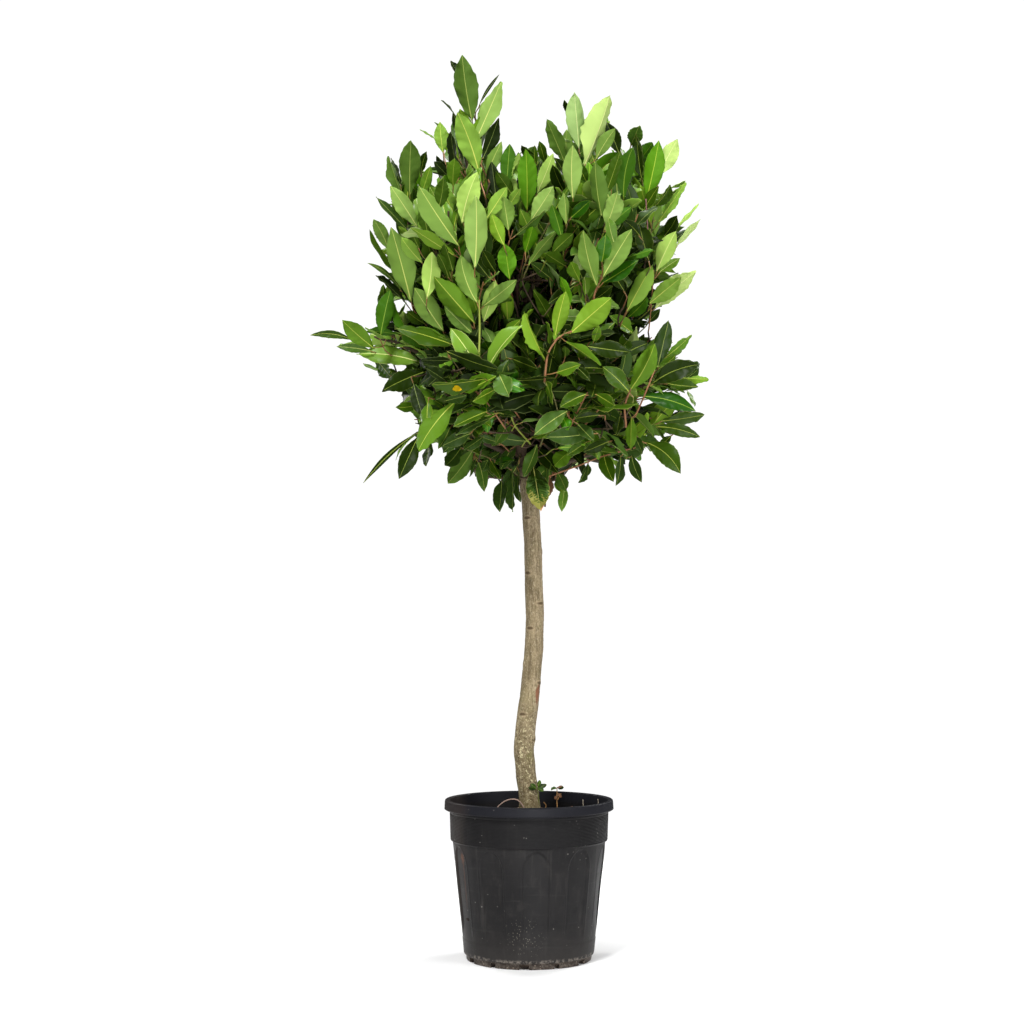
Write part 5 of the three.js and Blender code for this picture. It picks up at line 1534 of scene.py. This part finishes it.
def grow():
    rng = np.random.default_rng(20)
    masses = {name: Mass(name) for name in BOUGHS}
    front = front_of(masses)
    lead, stems = leading_leaves(front, np.random.default_rng(5))
    deal_tints(lead, masses, np.random.default_rng(257))

    cover = Picture(9.0)  # the depth of the leading leaves
    for l in lead:
        B = np.cross(l["N"], l["T"])
        f = [(0.05, 0.1), (0.3, 0.42), (0.55, 0.46), (0.8, 0.28), (1.0, 0.0), (0.8, -0.28), (0.55, -0.46), (0.3, -0.42)]
        shape = pic(np.array([l["base"] + l["T"] * l["L"] * t + B * l["W"] * s for t, s in f]))
        cover.polygon(shape, float(l["base"][1] - 0.004))
    room = Picture(0.0)
    room.polygon(np.array(OUTLINE) * MM, 1.0)
    for x, z, a, b in GAPS:
        t = np.linspace(0, 2 * math.pi, 10, endpoint=False)
        room.polygon(np.stack([x + a * np.cos(t), z + b * np.sin(t)], 1) * MM, 0.0)

    def fit(leaves):
        """Which of some leaves keep within the outline and the box, off the gaps, and behind the leading leaves."""
        p = leaf_batch(leaves, 0)[0].reshape(len(leaves), -1, 3)
        flat = p.reshape(-1, 3)
        q = pic(flat)
        before = cover.at(q)
        good = (room.at(q) > 0.5) & ((before > 8) | (flat[:, 1] > before))
        good &= np.all(flat > low_end, 1) & np.all(flat < high_end, 1)
        return good.reshape(p.shape[:2]).all(1)

    low_end = np.array(CAD_BOX[0]) - 0.014
    high_end = np.array(CAD_BOX[1]) + 0.014

    sk = Skeleton()
    sk.room = room
    boughs = {}
    for name, mass in masses.items():
        whole = smooth_line(np.array(BOUGHS[name][0], float) * MM, 24)
        end, way = whole[-1], unit(whole[-1] - whole[-4])
        # the bough goes on into its mass, towards the far side of it
        up = shoot_way(mass.middle, rng, 0.1)
        far = end + way * 0.03
        goal = mass.middle + up * 0.35 * np.linalg.norm(mass.hi - mass.lo) * 0.5
        path = smooth_line([end - way * 0.004, far, (far + goal) / 2 + rng.normal(0, 0.006, 3), goal], 18)
        out = np.nonzero(room.at(pic(path)) < 0.5)[0]
        if len(out):
            path = path[: max(int(out[0]) - 3, 2)]
        sk.add(path, None)
        boughs[name] = end
    pieces = {name: [] for name in masses}
    head = Head(masses)
    spots = []  # where shoots end: many under the skin, fewer ones deep inside, darker there as painted shade
    for near, far, gap, tries, inner in ((0.030, 0.064, 0.045, 60000, False), (0.060, 0.220, 0.048, 40000, True)):
        taken = Near(6000)
        for q in spots:
            taken.add(q[0])
        for p in rng.uniform(head.lo, head.hi, (tries, 3)):
            if taken.closest(p) < gap:
                continue
            d, owner = head.place(p)
            if near <= d <= far:
                spots.append((p, owner, inner))
                taken.add(p)
    spots.sort(key=lambda s: np.linalg.norm(s[0] - boughs[s[1]]))
    for p, owner, inner in spots:
        way = shoot_way(p, rng, 0.5 if inner else 0.22)
        h = np.clip((p[2] - 0.80) / 0.80, 0, 1)
        line, got = leafy_shoot(p + way * 0.012, way, rng, choose_tint(p, rng, inner), h=h)
        good, left = [], got
        for l in got:
            l["grid"] = 0 if inner else 1
        for _ in range(4):
            if not left:
                break
            ok = fit(left)
            good += [l for l, y in zip(left, ok) if y]
            left = [l for l, y in zip(left, ok) if not y]
            for l in left:
                l["L"] *= 0.84
                l["W"] *= 0.87
        if len(good) < 0.45 * len(got):
            continue
        sk.attach(line[0], unit(line[1] - line[0]), rng)
        # shoots deep inside take the dark twig colour, painted shade
        sk.paths.append([line, None, -1, (0.0016, 0.0010, 4 if inner else int(rng.choice([2, 3, 3])))])
        pieces[owner] += good
    names = list(masses)
    for line, look in stems:
        sk.attach(line[0], unit(line[1] - line[0]), rng, inward=True)
        sk.paths.append([line, None, -1, look])
    for l in lead:
        mid = l["base"] + l["T"] * l["L"] * 0.3
        best = max(names, key=lambda n: masses[n].depth(mid))
        l["grid"] = 3 if l["tint"] == "yellowing" else 2
        pieces[best].append(l)
    return sk, pieces


ORDER = ["pale", "light", "fresh", "mid", "deep", "dark", "inner"]
CAST = [
    {},
    {"light": "light_grey", "fresh": "fresh_grey", "mid": "mid_grey", "deep": "deep_grey", "dark": "dark_grey"},
    {"pale": "pale_green", "fresh": "fresh_vivid", "mid": "mid_vivid", "deep": "deep_vivid"},
]


SPRAY_TINTS = {  # the tints of the sprays of each mass: at its front, behind them, and further back; those behind are mostly darker, partly painted shade of the leaves before them
    "arm_left": ("light", "deep", "mid_grey"),
    "arm_right": ("deep", "deep", "mid"),
    "crest": ("deep_vivid", "light", "dark"),
    "leader_left": ("fresh", "mid_grey", "dark_grey"),
    "leader_right": ("light_grey", "deep_grey", "dark"),
    "low_left": ("dark", "dark", "dark"),
    "low_right": ("deep", "deep_grey", "deep_grey"),
    "lower_front_left": ("deep", "deep_grey", "dark_grey"),
    "lower_front_right": ("deep", "dark", "fresh_grey"),
    "shoulder_left": ("deep_grey", "deep_grey", "dark_grey"),
    "shoulder_right": ("fresh", "pale_green", "dark"),
    "skirt_left": ("deep_grey", "deep_grey", "deep_grey"),
    "skirt_right": ("mid_grey", "mid_grey", "dark"),
    "upper_back_left": ("deep_grey", "deep_grey", "deep_grey"),
    "upper_front_left": ("mid_grey", "fresh", "dark"),
    "upper_front_right": ("mid_grey", "deep_vivid", "dark"),
}


def deal_tints(lead, masses, rng):
    """Deals the plain tints out to the leading leaves by spray: its mass's tint or the next one, and a leaf may be one off that."""
    sprays = {}
    for l in lead:
        sprays.setdefault(l["spray"], []).append(l)
    for k in sorted(sprays):
        mid = np.mean([l["base"] + l["T"] * l["L"] * 0.3 for l in sprays[k]], 0)
        mass = max(list(masses), key=lambda n: masses[n].depth(mid))
        step = int(rng.choice([-1, 0, 1], p=(0.16, 0.68, 0.16)))
        for l in sprays[k]:
            tint = SPRAY_TINTS.get(mass, ("mid_grey", "deep_grey", "dark"))[min(max(l["layer"], 0), 2)]
            own = next((c for c in CAST if tint in c.values()), CAST[0])
            plain = next((n for n, v in own.items() if v == tint), tint)
            place = ORDER.index(plain) + step + int(rng.choice([-1, 0, 1], p=(0.12, 0.76, 0.12)))
            name = ORDER[int(np.clip(place, 0, 5))]
            cast = own if rng.random() < 0.7 else CAST[int(rng.choice(3))]
            if l["tint"] is None:
                l["tint"] = cast.get(name, name)


def choose_tint(p, rng, inner):
    """The tints of a shoot's leaves: paler towards the top, partly their own colour and partly painted light from
    above; near black deep inside, as painted shade.
    """
    h = np.clip((p[2] - 0.80) / 0.80, 0, 1)
    # paler high up and darker low down: partly the leaves' own colour, partly painted light from above
    share = [0.20 * h**3, 0.34 * h**2, 0.06 + 0.44 * h, 0.22 + 0.16 * h, 0.50 - 0.26 * h, 0.42 - 0.30 * h, 0.04 * (1 - h)]
    # deep inside: dark and near black tints, painted shade
    if inner:
        share = [0, 0, 0, 0.03 * h, 0.12, 0.36, 0.66]
    w = np.array(share) / sum(share)
    first = int(rng.choice(len(ORDER), p=w))
    cast = CAST[int(rng.choice(3, p=[0.34, 0.50 - 0.04 * h, 0.16 + 0.04 * h]))]

    def tint():
        k = first + int(rng.choice([-1, 0, 0, 0, 1]))
        name = ORDER[int(np.clip(k, 0, 6 if inner else 5))]
        return cast.get(name, name) if rng.random() < 0.8 else name

    return tint


def build_head(mats):
    sk, pieces = grow()
    bark = bough_material()
    total = faces = 0
    twigs = Pile()
    for name in BOUGHS:
        leaves = pieces[name]
        pile = Pile()
        for grid in range(len(GRIDS)):
            group = [l for l in leaves if l["grid"] == grid]
            if group:
                verts, quads, tris, qm, tm = leaf_batch(group, grid)
                pile.verts.append(verts)
                pile.quads.append(quads + pile.count)
                pile.tris.append(tris + pile.count)
                pile.quad_mat.append(qm)
                pile.tri_mat.append(tm)
                pile.count += len(verts)
                faces += 2 * len(quads) + len(tris)
        for l in leaves:
            a, b = l["stem"], l["base"] + unit(l["T"]) * 0.004
            bow = (a + b) / 2 + np.array([0, 0, -0.0008])
            sides = 4 if l["grid"] >= 2 else 3
            pile.tube([a, bow, b], [0.00105, 0.0008, 0.0009], sides, PETIOLE)
            faces += 6 * sides
        o = pile.mesh(f"leaves_{name}", mats)
        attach(o, "root")
        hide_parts(f"mass_{name}")
        total += len(leaves)
    for line, parent, carried, *look in sk.paths:
        if carried == -1:
            r0, r1, m = look[0]
        elif parent is None:
            r0, r1, m = 0.0033, 0.0020, 0
        else:
            r0 = min(0.0012 + 0.00030 * math.sqrt(carried), 0.0032)
            r1, m = min(r0, 0.0015), 0
        twigs.tube(line, np.linspace(r0, r1, len(line)), 5, material=m)
    looks = [
        plain("shoot_green", (0.235, 0.287, 0.041), roughness=0.5, specular=0.25),
        plain("shoot_red", (0.290, 0.133, 0.060), roughness=0.5, specular=0.25),
        plain("shoot_olive", (0.130, 0.118, 0.040), roughness=0.5, specular=0.25),
        # near black: painted shade for twigs and stems deep in the head
        plain("shoot_dark_painted_shade", (0.040, 0.024, 0.013), roughness=0.6, specular=0.2),
        plain("shoot_purple", (0.280, 0.130, 0.120), roughness=0.5, specular=0.25),
    ]
    o = twigs.mesh("twigs", [bark, *looks])
    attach(o, "root")
    print("leaves", total, "triangles in them", faces, "twigs", len(twigs.verts), "triangles in those", sum(2 * len(q) for q in twigs.quads))


build_stage()
build_pot()
build_compost()
build_limbs()
leaf_mats = leaf_materials()
build_litter(leaf_mats)
build_head(leaf_mats)
